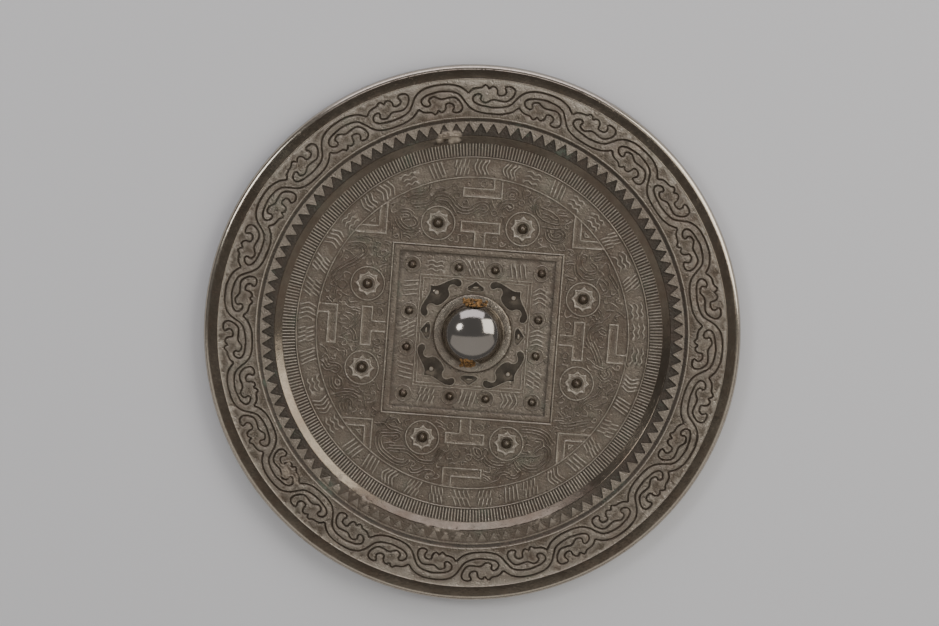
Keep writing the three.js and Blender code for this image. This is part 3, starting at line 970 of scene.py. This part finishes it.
# A profile of (radius, height) in millimetres turned round Z into a closed solid
def turnedMesh(name, profile, sides):
    vertices, faces, last = [], [], None
    for radius, height in profile:
        count = 1 if radius == 0 else sides
        ring = [len(vertices) + i for i in range(count)]
        for i in range(count):
            a = 2 * math.pi * i / sides
            vertices.append((radius * math.cos(a) * mm, radius * math.sin(a) * mm, height * mm))
        if last is not None:
            for i in range(sides):
                j = (i + 1) % sides
                a, b = last[i % len(last)], last[j % len(last)]
                c, d = ring[j % count], ring[i % count]
                faces.append([v for k, v in enumerate((a, b, c, d)) if v not in (a, b, c, d)[:k]])
        last = ring
    return makeMesh(name, vertices, faces)


# One node tree sets copies of a cast shape at marked points, each turned and sized a little differently
def buildCopiesTree():
    tree = bpy.data.node_groups.new("castCopies", "GeometryNodeTree")
    sockets = (("Geometry", "Geometry"), ("Shape", "Object"), ("Metal", "Material"),
               ("Turn Spread", "Float"), ("Height Spread", "Float"), ("Seed", "Int"))
    for name, kind in sockets:
        tree.interface.new_socket(name, in_out="INPUT", socket_type=f"NodeSocket{kind}")
    tree.interface.new_socket("Geometry", in_out="OUTPUT", socket_type="NodeSocketGeometry")
    nodes, link = tree.nodes, tree.links.new
    given, result = nodes.new("NodeGroupInput"), nodes.new("NodeGroupOutput")

    def marked(name, kind):
        node = nodes.new("GeometryNodeInputNamedAttribute")
        node.data_type = kind
        node.inputs["Name"].default_value = name
        return node.outputs["Attribute"]

    def maths(operation, source, value):
        node = nodes.new("ShaderNodeMath")
        node.operation = operation
        node.inputs[1].default_value = value
        link(source, node.inputs[0])
        return node

    # A random number between minus and plus an input
    def spread(name):
        node = nodes.new("FunctionNodeRandomValue")
        link(maths("MULTIPLY", given.outputs[name], -1).outputs[0], node.inputs[2])
        link(given.outputs[name], node.inputs[3])
        link(given.outputs["Seed"], node.inputs["Seed"])
        return node.outputs[1]

    turned = maths("ADD", marked("turn", "FLOAT"), 0)
    link(spread("Turn Spread"), turned.inputs[1])
    rotation, scale = nodes.new("ShaderNodeCombineXYZ"), nodes.new("ShaderNodeCombineXYZ")
    link(turned.outputs[0], rotation.inputs["Z"])
    scale.inputs["X"].default_value = scale.inputs["Y"].default_value = 1
    link(maths("ADD", spread("Height Spread"), 1).outputs[0], scale.inputs["Z"])
    sizing = nodes.new("ShaderNodeVectorMath")
    sizing.operation = "MULTIPLY"
    link(marked("size", "FLOAT_VECTOR"), sizing.inputs[0])
    link(scale.outputs[0], sizing.inputs[1])
    shape, copies = nodes.new("GeometryNodeObjectInfo"), nodes.new("GeometryNodeInstanceOnPoints")
    solid, metal = nodes.new("GeometryNodeRealizeInstances"), nodes.new("GeometryNodeSetMaterial")
    link(given.outputs["Shape"], shape.inputs["Object"])
    link(given.outputs["Geometry"], copies.inputs["Points"])
    link(shape.outputs["Geometry"], copies.inputs["Instance"])
    link(rotation.outputs[0], copies.inputs["Rotation"])
    link(sizing.outputs[0], copies.inputs["Scale"])
    link(copies.outputs["Instances"], solid.inputs["Geometry"])
    link(solid.outputs["Geometry"], metal.inputs["Geometry"])
    link(given.outputs["Metal"], metal.inputs["Material"])
    link(metal.outputs["Geometry"], result.inputs["Geometry"])
    return tree


# Copies of a shape at places (x, y, z, turn, (sizes)), in millimetres and degrees, as one plain mesh
def castCopies(name, shape, places, metal, turnSpread=0.0, heightSpread=0.0, seed=1):
    points = bpy.data.meshes.new(name)
    points.from_pydata([(x * mm, y * mm, z * mm) for x, y, z, _, _ in places], [], [])
    turns = points.attributes.new("turn", "FLOAT", "POINT")
    turns.data.foreach_set("value", [math.radians(place[3]) for place in places])
    sizes = points.attributes.new("size", "FLOAT_VECTOR", "POINT")
    sizes.data.foreach_set("vector", [v for place in places for v in place[4]])
    holder = addObject(name, points)
    modifier = holder.modifiers.new("copies", "NODES")
    modifier.node_group = copiesTree
    values = {"Shape": shape, "Metal": metal, "Turn Spread": math.radians(turnSpread),
              "Height Spread": heightSpread, "Seed": seed}
    for item in copiesTree.interface.items_tree:
        if item.in_out == "INPUT" and item.name in values:
            modifier[item.identifier] = values[item.name]
    graph = bpy.context.evaluated_depsgraph_get()
    mesh = bpy.data.meshes.new_from_object(holder.evaluated_get(graph))
    bpy.data.objects.remove(holder)
    bpy.data.objects.remove(shape)
    return addObject(name, mesh)


# A tapering prism from a lower outline to an upper one, both in millimetres
def prismMesh(name, lower, lowZ, upper, highZ):
    count = len(lower)
    vertices = [(x * mm, y * mm, z * mm) for line, z in ((lower, lowZ), (upper, highZ)) for x, y in line]
    faces = [tuple(range(count - 1, -1, -1)), tuple(range(count, 2 * count))]
    for i in range(count):
        j = (i + 1) % count
        faces.append((i, j, count + j, count + i))
    return makeMesh(name, vertices, faces)


# Each tooth points inwards; those between the worn ends are nearly gone
def castTeeth(metal):
    base, length, draft = sawteeth["base"], sawteeth["length"], sawteeth["draft"]
    radius = sawOuter - sawteeth["inset"]
    half = 2 * math.pi * radius / sawteeth["count"] * sawteeth["widthShare"]
    top = [(base, -half + draft), (base, half - draft), (0, half - draft), (-length + 2.2 * draft, 0),
           (0, -half + draft)]
    foot = [(base, -half), (base, half), (0, half), (-length, 0), (0, -half)]
    shape = prismMesh("toothShape", foot, -sawteeth["root"], top, disc["toothRise"])
    places = []
    for tooth in range(sawteeth["count"]):
        angle = sawteeth["phase"] + 360 * tooth / sawteeth["count"]
        turn, run = angle % 360, sawteeth["wornRun"]
        worn = max(0, min(1, (turn - sawteeth["wornFrom"]) / run, (sawteeth["wornTo"] - turn) / run))
        worn *= 0.8 + 0.45 * noise.noise((angle * 0.3, 0.0, 4.0))
        a = math.radians(angle)
        sizes = (1, 1, 1 - 0.9 * worn)
        places.append((radius * math.cos(a), radius * math.sin(a), sawFloor - 0.02, angle, sizes))
    return castCopies("sawTeeth", shape, places, metal, 0.25, 0.06, 5)


# A comb ridge follows the slope of its band: rounded on top, with a root below
def castComb(metal):
    low, high = combInner + 0.35, combOuter + 0.15
    half, rise, root = comb["width"] / 2, comb["rise"], comb["root"]
    section = [(-half, -root), (half, -root), (half, 0), (half * 0.5, rise * 0.85), (0, rise),
               (-half * 0.5, rise * 0.85), (-half, 0)]
    rings = []
    for radius, fullness in ((low, 0.55), (low + 0.35, 1.0), (high - 0.3, 1.0), (high, 0.7)):
        floor = np.interp(radius, profileRadii, profileHeights)
        heights = [z * fullness if z > 0 else z for _, z in section]
        rings.append([(radius - low, y * fullness, floor + lift) for (y, _), lift in zip(section, heights)])
    shape = loftMesh("ridgeShape", rings)
    places = []
    for ridge in range(comb["count"]):
        a = 2 * math.pi * ridge / comb["count"]
        places.append((low * math.cos(a), low * math.sin(a), 0, math.degrees(a), (1, 1, 1)))
    return castCopies("combRidges", shape, places, metal, 0.8, 0.012, 9)


def castBosses(metal):
    profile = bosses["profile"]
    shape = turnedMesh("bossShape", [(0, profile[0][1])] + profile, 20)
    places = [(x, y, fieldLevel, 0, (radius, radius, rise))
              for spots, (radius, rise) in bossSets for x, y in spots]
    return castCopies("bossTops", shape, places, metal, 180, 0.08, 3)


def castKnob():
    height, foot = knob["top"] - seatLevel, knob["radius"] - 0.1
    profile = [(0, seatLevel - knob["root"]), (foot, seatLevel - knob["root"]), (foot, seatLevel - 0.05)]
    for step in range(knob["steps"]):
        lift = math.pi / 2 * step / knob["steps"]
        profile.append((knob["radius"] * math.cos(lift), seatLevel + height * math.sin(lift)))
    profile.append((0, knob["top"]))
    return turnedMesh("knobDome", profile, knob["sides"])


# Arched cutter for the cord hole, with a slightly uneven wall
def holeCutter():
    half, side = knob["holeWidth"] / 2, knob["holeSideHeight"]
    base, length = seatLevel + knob["holeSill"], knob["radius"] + 1.0
    outline = [(-half, 0), (0, 0), (half, 0), (half, side / 2)]
    arch = [math.pi * k / 16 for k in range(17)]
    outline += [(half * math.cos(a), side + half * math.sin(a)) for a in arch]
    outline += [(-half, side / 2)]
    rings = []
    for k in range(17):
        y = -length + 2 * length * k / 16
        rough = [1 + 0.035 * noise.noise((x * 0.5, y * 0.4, z * 0.5 + 9)) for x, z in outline]
        rings.append([(x * r, y, base + z * r) for (x, z), r in zip(outline, rough)])
    return loftMesh("holeCutter", rings)


# Joins the cast parts into one casting and cuts the cord hole
def joinCasting(body, parts, cutter):
    for operation, tool in [("UNION", part) for part in parts] + [("DIFFERENCE", cutter)]:
        modifier = body.modifiers.new(tool.name, "BOOLEAN")
        modifier.operation = operation
        modifier.solver = "MANIFOLD"
        modifier.object = tool
    graph = bpy.context.evaluated_depsgraph_get()
    mesh = bpy.data.meshes.new_from_object(body.evaluated_get(graph))
    for obj in [body, cutter] + parts:
        bpy.data.objects.remove(obj)
    mesh.materials.clear()
    return addObject("mirrorCasting", mesh)


# Orange earth left by the cord, packed unevenly in both mouths of the hole: -1 is the lower one
residue = {
    "seed": 6,
    "lumps": 90,
    "spread": {-1: (-3.4, 1.5), 1: (-3.9, 4.1)},
    "inner": {-1: 8.6, 1: 9.7},
    "outer": {-1: 11.4, 1: 11.9},
    "size": (0.2, 0.6),
    "holeTop": 4.6,
}


def castResidue(metal):
    rng = random.Random(residue["seed"])
    lumps = []
    for mouth in (-1, 1):
        for _ in range(residue["lumps"]):
            across = rng.uniform(*residue["spread"][mouth])
            along = rng.uniform(residue["inner"][mouth], residue["outer"][mouth])
            size = rng.uniform(*residue["size"])
            inside = max(0, 1 - (across ** 2 + along ** 2) / knob["radius"] ** 2)
            height = (knob["top"] - seatLevel) * math.sqrt(inside)
            if height <= residue["holeTop"]:
                height = rng.uniform(0.05, 0.3) + 0.75 * height
            lumps.append((across, mouth * along, seatLevel + height, rng.uniform(0, 360),
                          (size, size * rng.uniform(0.5, 1), size * rng.uniform(0.4, 0.7))))
    work = bmesh.new()
    bmesh.ops.create_icosphere(work, subdivisions=2, radius=mm)
    for vertex in work.verts:
        vertex.co *= 1 + 0.6 * noise.noise(vertex.co / mm * 1.4)
    mesh = bpy.data.meshes.new("lumpShape")
    work.to_mesh(mesh)
    work.free()
    return castCopies("cordResidue", addObject("lumpShape", mesh), lumps, metal, 20, 0.2, 4)


def buildEarth():
    material, nodes, link, shader = startMaterial("orangeEarth")
    cloudColour(nodes, link, shader, 1400, (0.05, 0.03, 0.012, 1), (0.5, 0.27, 0.09, 1))
    shader.inputs["Roughness"].default_value = 0.8
    return material


# How dirty, worn, dark and glossy each part of the surface is, from 0 to 1; the dirt includes painted shade
# in the hollows, the wear includes painted highlights on lines, steps and edges, and the dark of the bosses
# is a painted reflection
looks = {
    "grimeAndShade": {"besideGroove": 0.1, "besideStroke": 0.26, "besideThread": 0.22, "groove": 0.44, "comb": 0.66,
              "saw": 0.95, "sawFilled": 0.6, "step": 0.9, "frameLine": 0.6, "frameFoot": 0.7},
    "raised": {"stroke": 1.0, "thread": 0.8, "knobFoot": 0.5, "frame": 0.1, "lip": 0.42, "rimStep": 0.95,
               "scrollStep": 1.0, "edge": 1.0, "inFrame": 0.2, "inRing": 0.1, "tooth": 0.35},
    "dark": {"rim": 0.36, "bevel": 0.27, "scroll": 0.36, "leaf": 0.6, "boss": 0.3},
    "gloss": {"rim": 0.55, "bevel": 0.72, "seat": 0.4, "leaf": 0.75, "boss": 0.4, "edge": 0.9, "knob": 1.0},
}


def readPoints(mesh):
    co = np.zeros(len(mesh.vertices) * 3)
    mesh.vertices.foreach_get("co", co)
    return co.reshape(-1, 3)


def between(values, low, high):
    return (values > low) & (values < high)


# Writes those four and the hard soil as attributes; where two lines set one spot, the later one holds
def writeMasks(casting, samples, tree):
    mesh = casting.data
    co = readPoints(mesh) / mm
    xy, z = co[:, :2], co[:, 2]
    radius = np.hypot(xy[:, 0], xy[:, 1])
    above = z - np.interp(radius, profileRadii, profileHeights)
    _, footGap, height = threadHeights(xy, samples, tree)
    framed = square["halfSide"] - squareDistance(xy)
    inRing = between(radius, fieldRadius + 0.4, combInner - 0.4)
    stroked = inRing | between(framed, 3.4, square["halfSide"] - square["innerHalfSide"] - 0.2)
    edge = radius > backRadius - 1.0

    # Dirt and painted shade: darker at the feet of the lines, in the grooves, between the comb ridges and on
    # the saw floor; the dark lines at the scroll step, in the frame and at its inner foot are painted shadow
    dirtAndShade = looks["grimeAndShade"]
    beside = np.exp(-(np.maximum(footGap, 0) / 0.25) ** 2)
    foot = np.where(stroked, dirtAndShade["besideStroke"], dirtAndShade["besideThread"])
    grimeAndShade = np.where(footGap > -0.05, beside, 0.0) * np.where(height < 0, dirtAndShade["besideGroove"], foot)
    grimeAndShade = np.where((height < 0) & (footGap < 0), dirtAndShade["groove"] * np.clip(-above / 0.28, 0, 1), grimeAndShade)
    inComb = between(radius, combInner + 0.3, combOuter + 0.1)
    grimeAndShade = np.where(inComb, dirtAndShade["comb"] * (1 - np.clip(above / 0.2, 0, 1)), grimeAndShade)
    inSaw = (radius >= bevelRadius + 0.05) & (radius < sawOuter - 0.1)
    turn = np.degrees(np.arctan2(xy[:, 1], xy[:, 0])) % 360
    fromEnds = np.minimum(turn - sawteeth["wornFrom"], sawteeth["wornTo"] - turn)
    filled = dirtAndShade["sawFilled"] * np.clip(fromEnds / sawteeth["wornRun"], 0, 1)
    grimeAndShade = np.where(inSaw, (dirtAndShade["saw"] - filled) * (1 - np.clip((z - sawFloor - 0.03) / 0.2, 0, 1)), grimeAndShade)
    grimeAndShade[between(radius, sawOuter - 0.1, scrollInner - 0.3)] = dirtAndShade["step"]
    grimeAndShade[between(framed, 0.6, 0.85)] = dirtAndShade["frameLine"]
    grimeAndShade[between(framed, 2.7, 3.2)] = dirtAndShade["frameFoot"]

    # Wear and painted highlight: lighter colour on the raised lines, the groove lips, the teeth and the
    # rim's rounded edge; the thin bright lines at the rim step, the scroll step and round the knob's foot
    # are painted highlights
    worn = looks["raised"]
    raised = np.clip((above - 0.06) / 0.14, 0, 1) * np.where(stroked, worn["stroke"], worn["thread"])
    raised[(radius > sawOuter - 0.5) | (radius < knob["seatRadius"])] = 0
    raised[between(radius, knob["radius"] - 0.02, knob["seatRadius"] - 0.3)] = worn["knobFoot"]
    raised[between(framed, 0.6, 3.1)] = worn["frame"]
    raised[(height < 0) & between(footGap, 0, 0.3)] = worn["lip"]
    raised[between(radius, rimInner - 0.25, rimInner + 0.1)] = worn["rimStep"]
    raised[between(radius, scrollInner, scrollInner + 0.2)] = worn["scrollStep"]
    raised[edge & (z > rimLevel - 1.2)] = worn["edge"]
    inFrame = (framed > 3.2) & (radius > knob["seatRadius"])
    raised = np.where(inFrame, np.maximum(raised, worn["inFrame"]), raised)
    raised = np.where(inRing, np.maximum(raised, worn["inRing"]), raised)
    toothed = between(radius, bevelRadius + 0.3, sawOuter - 0.05) & (z > sawFloor + 0.22)
    raised[toothed], grimeAndShade[toothed] = worn["tooth"], 0

    tone, shine = looks["dark"], looks["gloss"]
    dark, gloss = np.zeros(len(z)), np.zeros(len(z))
    onRim = radius >= rimInner + 0.14
    onBevel = between(radius, combOuter + 0.2, bevelRadius)
    dark[(radius > sawOuter + 0.1) & ~onRim] = tone["scroll"]
    dark[onBevel] = tone["bevel"]
    dark[onRim & (raised < 0.5)] = tone["rim"]
    gloss[radius < knob["seatRadius"] + 0.1] = shine["seat"]
    gloss[onBevel] = shine["bevel"]
    gloss[onRim] = shine["rim"]
    for quarter in range(4):
        for outline in (leafOutline(quarter), budOutline(quarter)):
            inside = (insideDepth(xy, outline) > 0.3) & (above < 0.15)
            dark[inside], gloss[inside] = tone["leaf"], shine["leaf"]
    # The bosses are glossy, and their darker colour is a painted dark reflection
    for spots, size in bossSets:
        for x, y in spots:
            onBoss = np.hypot(xy[:, 0] - x, xy[:, 1] - y) < size[0] + 0.05
            dark[onBoss], gloss[onBoss] = tone["boss"], shine["boss"]
            raised[onBoss], grimeAndShade[onBoss] = 0, 0
    gloss[edge & (z > 1)] = shine["edge"]
    dome = (radius / knob["radius"]) ** 2 + ((z - seatLevel) / (knob["top"] - seatLevel)) ** 2
    gloss[(dome > 0.98) & (z > seatLevel + 0.03) & (radius < knob["radius"] + 0.02)] = shine["knob"]
    crusted = np.clip(crustHeight(xy) / 0.12 - 0.4, 0, 1)
    masks = {"grimeAndShade": grimeAndShade, "raised": raised, "dark": dark, "gloss": gloss, "crust": crusted}
    for name, values in masks.items():
        layer = mesh.attributes.new(name, "FLOAT", "POINT")
        layer.data.foreach_set("value", np.clip(values, 0, 1).astype(np.float32))


# One flat map of the back, with the face and the roof of the hole in two corners
def writeBakeMap(casting):
    mesh = casting.data
    layer = mesh.uv_layers.new(name="OFBake")
    loops = np.zeros(len(mesh.loops), int)
    mesh.loops.foreach_get("vertex_index", loops)
    normals = np.zeros(len(mesh.polygons) * 3)
    mesh.polygons.foreach_get("normal", normals)
    totals = np.zeros(len(mesh.polygons), int)
    mesh.polygons.foreach_get("loop_total", totals)
    down = np.repeat(normals.reshape(-1, 3)[:, 2] < 0, totals)
    co = readPoints(mesh)[loops]
    xy = co[:, :2] / (disc["radius"] * mm)
    radius = np.hypot(co[:, 0], co[:, 1]) / mm
    roof = down & (radius < knob["radius"] + 1) & (co[:, 2] > seatLevel * mm)
    face = down & ~roof
    uv = 0.5 + 0.492 * xy
    uv[face] = 0.068 + 0.065 * xy[face]
    uv[roof] = 0.93 + 0.4 * xy[roof]
    layer.data.foreach_set("uv", uv.astype(np.float32).ravel())


def startMaterial(name):
    material = bpy.data.materials.new(name)
    material.use_nodes = True
    nodes = material.node_tree.nodes
    return material, nodes, material.node_tree.links.new, nodes["Principled BSDF"]


def mixNode(nodes):
    node = nodes.new("ShaderNodeMix")
    node.data_type = "RGBA"
    node.clamp_factor = True
    return node


def rampNode(nodes, low, high, bottom=0.0, top=1.0):
    node = nodes.new("ShaderNodeMapRange")
    for name, value in (("From Min", low), ("From Max", high), ("To Min", bottom), ("To Max", top)):
        node.inputs[name].default_value = value
    return node


def patinaNode(nodes, scales):
    node = nodes.new("ShaderNodeGroup")
    node.node_tree = patinaGroup
    for name, value in scales.items():
        node.inputs[name].default_value = value
    return node


# A base colour that goes from one tone to another with the clouds, and the clouds themselves
def cloudColour(nodes, link, shader, scale, low, high):
    cloud = patinaNode(nodes, {"Cloud Scale": scale}).outputs["Cloud"]
    mix = mixNode(nodes)
    mix.inputs["A"].default_value = low
    mix.inputs["B"].default_value = high
    link(cloud, mix.inputs["Factor"])
    link(mix.outputs["Result"], shader.inputs["Base Color"])
    return cloud


# Uneven patina for any bronze surface: a cloudy mask, a fine grain mask and small pits
def buildPatinaGroup():
    group = bpy.data.node_groups.new("castPatina", "ShaderNodeTree")
    for name, value in (("Cloud Scale", 60.0), ("Grain Scale", 1500.0), ("Pit Scale", 700.0)):
        group.interface.new_socket(name, in_out="INPUT", socket_type="NodeSocketFloat").default_value = value
    for name in ("Cloud", "Grain", "Pits"):
        group.interface.new_socket(name, in_out="OUTPUT", socket_type="NodeSocketFloat")
    nodes, link = group.nodes, group.links.new
    given, result = nodes.new("NodeGroupInput"), nodes.new("NodeGroupOutput")
    place = nodes.new("ShaderNodeTexCoord")
    for name, kind, low, high in (("Cloud", "Noise", 0.36, 0.64), ("Grain", "Noise", 0.3, 0.7),
                                  ("Pits", "Voronoi", 0.0, 0.3)):
        texture, ramp = nodes.new(f"ShaderNodeTex{kind}"), rampNode(nodes, low, high)
        link(place.outputs["Object"], texture.inputs["Vector"])
        link(given.outputs[name.rstrip("s") + " Scale"], texture.inputs["Scale"])
        if kind == "Noise":
            texture.inputs["Detail"].default_value = 6
            texture.inputs["Roughness"].default_value = 0.62
        link(texture.outputs[0], ramp.inputs["Value"])
        link(ramp.outputs["Result"], result.inputs[name])
    return group


# Colours of the bronze; the worn colour also paints highlights, and the dirt colour also paints shade in the
# hollows
patina = {
    "ground": (0.2, 0.166, 0.129, 1),
    "light": (0.34, 0.29, 0.232, 1),
    "dark": (0.06, 0.048, 0.032, 1),
    "dirtAndShade": (0.042, 0.034, 0.024, 1),
    "green": (0.13, 0.165, 0.12, 1),
    "red": (0.2, 0.125, 0.09, 1),
    "worn": (0.55, 0.49, 0.405, 1),
    "crust": (0.4, 0.33, 0.25, 1),
    "knob": (0.34, 0.315, 0.285, 1),
}


def attributeNode(nodes, name):
    node = nodes.new("ShaderNodeAttribute")
    node.attribute_name = name
    return node.outputs["Fac"]


# Grey brown patina, dirt and painted shade in the hollows, worn lines with painted highlights, a darker
# blotched rim, bosses darkened as a painted reflection, and a polished knob
def buildBronze():
    material, nodes, link, shader = startMaterial("agedBronze")
    fine, coarse = patinaNode(nodes, {}), patinaNode(nodes, {"Cloud Scale": 150, "Grain Scale": 420})
    names = ("grimeAndShade", "raised", "dark", "gloss", "crust")
    grimeAndShade, raised, dark, gloss, crust = (attributeNode(nodes, name) for name in names)

    def product(a, b):
        node = nodes.new("ShaderNodeMath")
        node.operation = "MULTIPLY"
        link(a, node.inputs[0])
        if isinstance(b, float):
            node.inputs[1].default_value = b
        else:
            link(b, node.inputs[1])
        return node.outputs[0]

    def layer(below, factor, colour):
        mix = mixNode(nodes)
        link(factor, mix.inputs["Factor"])
        link(below, mix.inputs["A"])
        mix.inputs["B"].default_value = patina[colour]
        return mix.outputs["Result"]

    def ramp(source, *limits):
        node = rampNode(nodes, *limits)
        link(source, node.inputs["Value"])
        return node.outputs["Result"]

    def blend(factor, low, high):
        return ramp(factor, 0, 1, low, high)

    def toward(below, factor, value):
        node = nodes.new("ShaderNodeMix")
        link(factor, node.inputs["Factor"])
        link(below, node.inputs["A"])
        node.inputs["B"].default_value = value
        return node.outputs["Result"]

    start = nodes.new("ShaderNodeRGB")
    start.outputs[0].default_value = patina["ground"]
    cloud, grain, blotch = fine.outputs["Cloud"], fine.outputs["Grain"], coarse.outputs["Cloud"]
    speckle, patches = coarse.outputs["Grain"], product(blotch, cloud)
    shade = product(product(dark, blend(cloud, 1.0, 0.7)), blend(blotch, 0.7, 1.0))
    spots, rust = ramp(patches, 0.5, 0.9), product(ramp(patches, 0.25, 0.02), speckle)
    colour = layer(start.outputs[0], product(cloud, 0.6), "light")
    colour = layer(colour, product(speckle, 0.3), "dark")
    colour = layer(colour, product(grain, 0.4), "dark")
    colour = layer(colour, shade, "dark")
    # The worn colour is partly wear and partly painted highlight; the dirt colour after it is partly dirt
    # and partly painted shade in the hollows
    colour = layer(colour, product(raised, blend(grain, 1.0, 0.64)), "worn")
    colour = layer(colour, product(grimeAndShade, blend(grain, 0.8, 1.0)), "dirtAndShade")
    colour = layer(colour, product(spots, blend(grimeAndShade, 0.15, 0.7)), "green")
    colour = layer(colour, product(rust, 0.25), "red")
    colour = layer(colour, product(crust, blend(grain, 1.0, 0.3)), "crust")
    colour = layer(colour, product(ramp(gloss, 0.9, 0.97), blend(cloud, 0.97, 0.82)), "knob")
    link(colour, shader.inputs["Base Color"])

    rough = toward(blend(product(grain, blotch), 0.3, 0.44), gloss, 0.12)
    rough = toward(rough, product(grimeAndShade, 0.8), 0.6)
    link(toward(rough, crust, 0.8), shader.inputs["Roughness"])
    metal = toward(toward(blend(cloud, 0.8, 0.95), grimeAndShade, 0.3), gloss, 1.0)
    link(toward(metal, crust, 0.0), shader.inputs["Metallic"])

    height = nodes.new("ShaderNodeMath")
    height.operation = "MULTIPLY_ADD"
    link(grain, height.inputs[0])
    height.inputs[1].default_value = 0.6
    link(fine.outputs["Pits"], height.inputs[2])
    smooth = toward(blend(blotch, 0.5, 1.0), ramp(gloss, 0.0, 0.76), 0.02)
    bump = nodes.new("ShaderNodeBump")
    bump.inputs["Distance"].default_value = 0.0005
    bump.inputs["Strength"].default_value = 0.7
    link(product(height.outputs[0], smooth), bump.inputs["Height"])
    link(bump.outputs["Normal"], shader.inputs["Normal"])
    return material


def buildFaceMetal():
    material, nodes, link, shader = startMaterial("mirrorFace")
    cloud = cloudColour(nodes, link, shader, 45, (0.16, 0.15, 0.135, 1), (0.05, 0.062, 0.05, 1))
    rough = rampNode(nodes, 0, 1, 0.14, 0.38)
    link(cloud, rough.inputs["Value"])
    link(rough.outputs["Result"], shader.inputs["Roughness"])
    shader.inputs["Metallic"].default_value = 0.85
    return material


# Distance in metres, turns in degrees, sensor in millimetres, and the picture's measures in pixels
view = {
    "distance": 1.05,
    "tilt": 4.2,
    "roll": 4.3,
    "imageWidth": 939,
    "discPixels": 539.4,
    "shiftRight": 2.8,
    "shiftDown": 21.4,
    "sensor": 36,
}


def buildCamera():
    pixel = 2 * disc["radius"] * mm / view["discPixels"]
    roll, tilt = math.radians(view["roll"]), math.radians(view["tilt"])
    up = Vector((-math.sin(roll), math.cos(roll), 0))
    right = Vector((math.cos(roll), math.sin(roll), 0))
    back = Vector((0, 0, math.cos(tilt))) + up * math.sin(tilt)
    target = Vector((0, 0, rimLevel * mm)) - right * view["shiftRight"] * pixel
    target += up * view["shiftDown"] * pixel
    camera = addObject("camera", bpy.data.cameras.new("camera"))
    camera.data.sensor_width = view["sensor"]
    camera.data.lens = view["sensor"] * view["distance"] / (view["imageWidth"] * pixel)
    camera.data.clip_end = 10
    axisZ = back.normalized()
    axisX = up.cross(axisZ).normalized()
    axisY = axisZ.cross(axisX)
    camera.matrix_world = Matrix((axisX, axisY, axisZ)).transposed().to_4x4()
    camera.location = target + axisZ * view["distance"]
    bpy.context.scene.camera = camera


# Each light looks at the mirror from a place (right, up, height) seen from the camera, in metres.
# The key light is also turned about its own line of sight, in degrees.
lights = {
    "top": {"place": (0.0, 1.5, 0.58), "size": (2.0, 0.9), "power": 11.5, "tint": (0.94, 0.91, 1.0)},
    "key": {"place": (0.93, 0.44, 0.66), "size": (0.9, 0.84), "power": 7.6, "tint": (1.0, 0.98, 0.93)},
    "lamp": {"place": (-0.61, 0.34, 0.7), "size": (0.31, 0.31), "power": 1.25, "tint": (1.0, 1.0, 1.0)},
    "low": {"place": (0.0, -1.26, 1.56), "size": (9.5, 2.4), "power": 27.5, "tint": (1.0, 0.96, 0.92)},
}
keyTurn = -25


def buildLights():
    for name, plan in lights.items():
        data = bpy.data.lights.new(name, "AREA")
        data.shape = "DISK" if name == "lamp" else "RECTANGLE"
        data.size, data.size_y = plan["size"]
        data.energy, data.color = plan["power"], plan["tint"]
        light = addObject(name, data)
        place = Vector(spin([plan["place"][:2]], view["roll"])[0]).to_3d() + Vector((0, 0, plan["place"][2]))
        light.location = place
        turn = Quaternion((0, 0, 1), math.radians(keyTurn if name == "key" else 0))
        light.rotation_euler = ((-place).to_track_quat("-Z", "Y") @ turn).to_euler()
    world = bpy.data.worlds.new("studio")
    world.use_nodes = True
    backdrop = world.node_tree.nodes["Background"]
    backdrop.inputs["Color"].default_value = (0.8, 0.79, 0.8, 1)
    backdrop.inputs["Strength"].default_value = 0.23
    bpy.context.scene.world = world


def buildFloor():
    corners = [(-4, -4, 0), (4, -4, 0), (4, 4, 0), (-4, 4, 0)]
    floor = makeMesh("floor", corners, [(0, 1, 2, 3)])
    material, _, _, shader = startMaterial("paleFloor")
    shader.inputs["Base Color"].default_value = (0.78, 0.78, 0.79, 1)
    shader.inputs["Roughness"].default_value = 0.6
    floor.data.materials.append(material)


buildCamera()
buildLights()
buildFloor()
report("camera, lights and floor placed")

castRings()
castSquares()
castMarks()
castBossSeats()
castLeaves()
cutScroll()
castFieldLines()
fillField()
castStrokeBands()
report(f"{len(guides)} guide lines, {len(threads)} threads and grooves")

patinaGroup = buildPatinaGroup()
bronze = buildBronze()
faceMetal = buildFaceMetal()
copiesTree = buildCopiesTree()
body, threadSamples, threadTree = buildDisc()
report(f"disc built, {len(body.data.polygons)} faces")
parts = [castTeeth(bronze), castComb(bronze), castBosses(bronze), castKnob()]
report("teeth, comb ridges, bosses and knob cast")
casting = joinCasting(body, parts, holeCutter())
report(f"casting joined, {len(casting.data.polygons)} faces")
writeMasks(casting, threadSamples, threadTree)
writeBakeMap(casting)
casting.data.materials.append(bronze)
casting.data.materials.append(faceMetal)
for polygon in casting.data.polygons:
    polygon.material_index = int(polygon.normal.z < -0.5 and polygon.center.z < disc["faceRise"] * mm * 1.2)
casting.data.shade_smooth()
with bpy.context.temp_override(object=casting, active_object=casting, selected_objects=[casting],
                               selected_editable_objects=[casting]):
    bpy.ops.object.shade_smooth_by_angle(angle=math.radians(38))
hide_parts("mirror", "knob")
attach(casting, "root")
earth = castResidue(buildEarth())
earth.data.shade_smooth()
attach(earth, "root")
report("materials set")
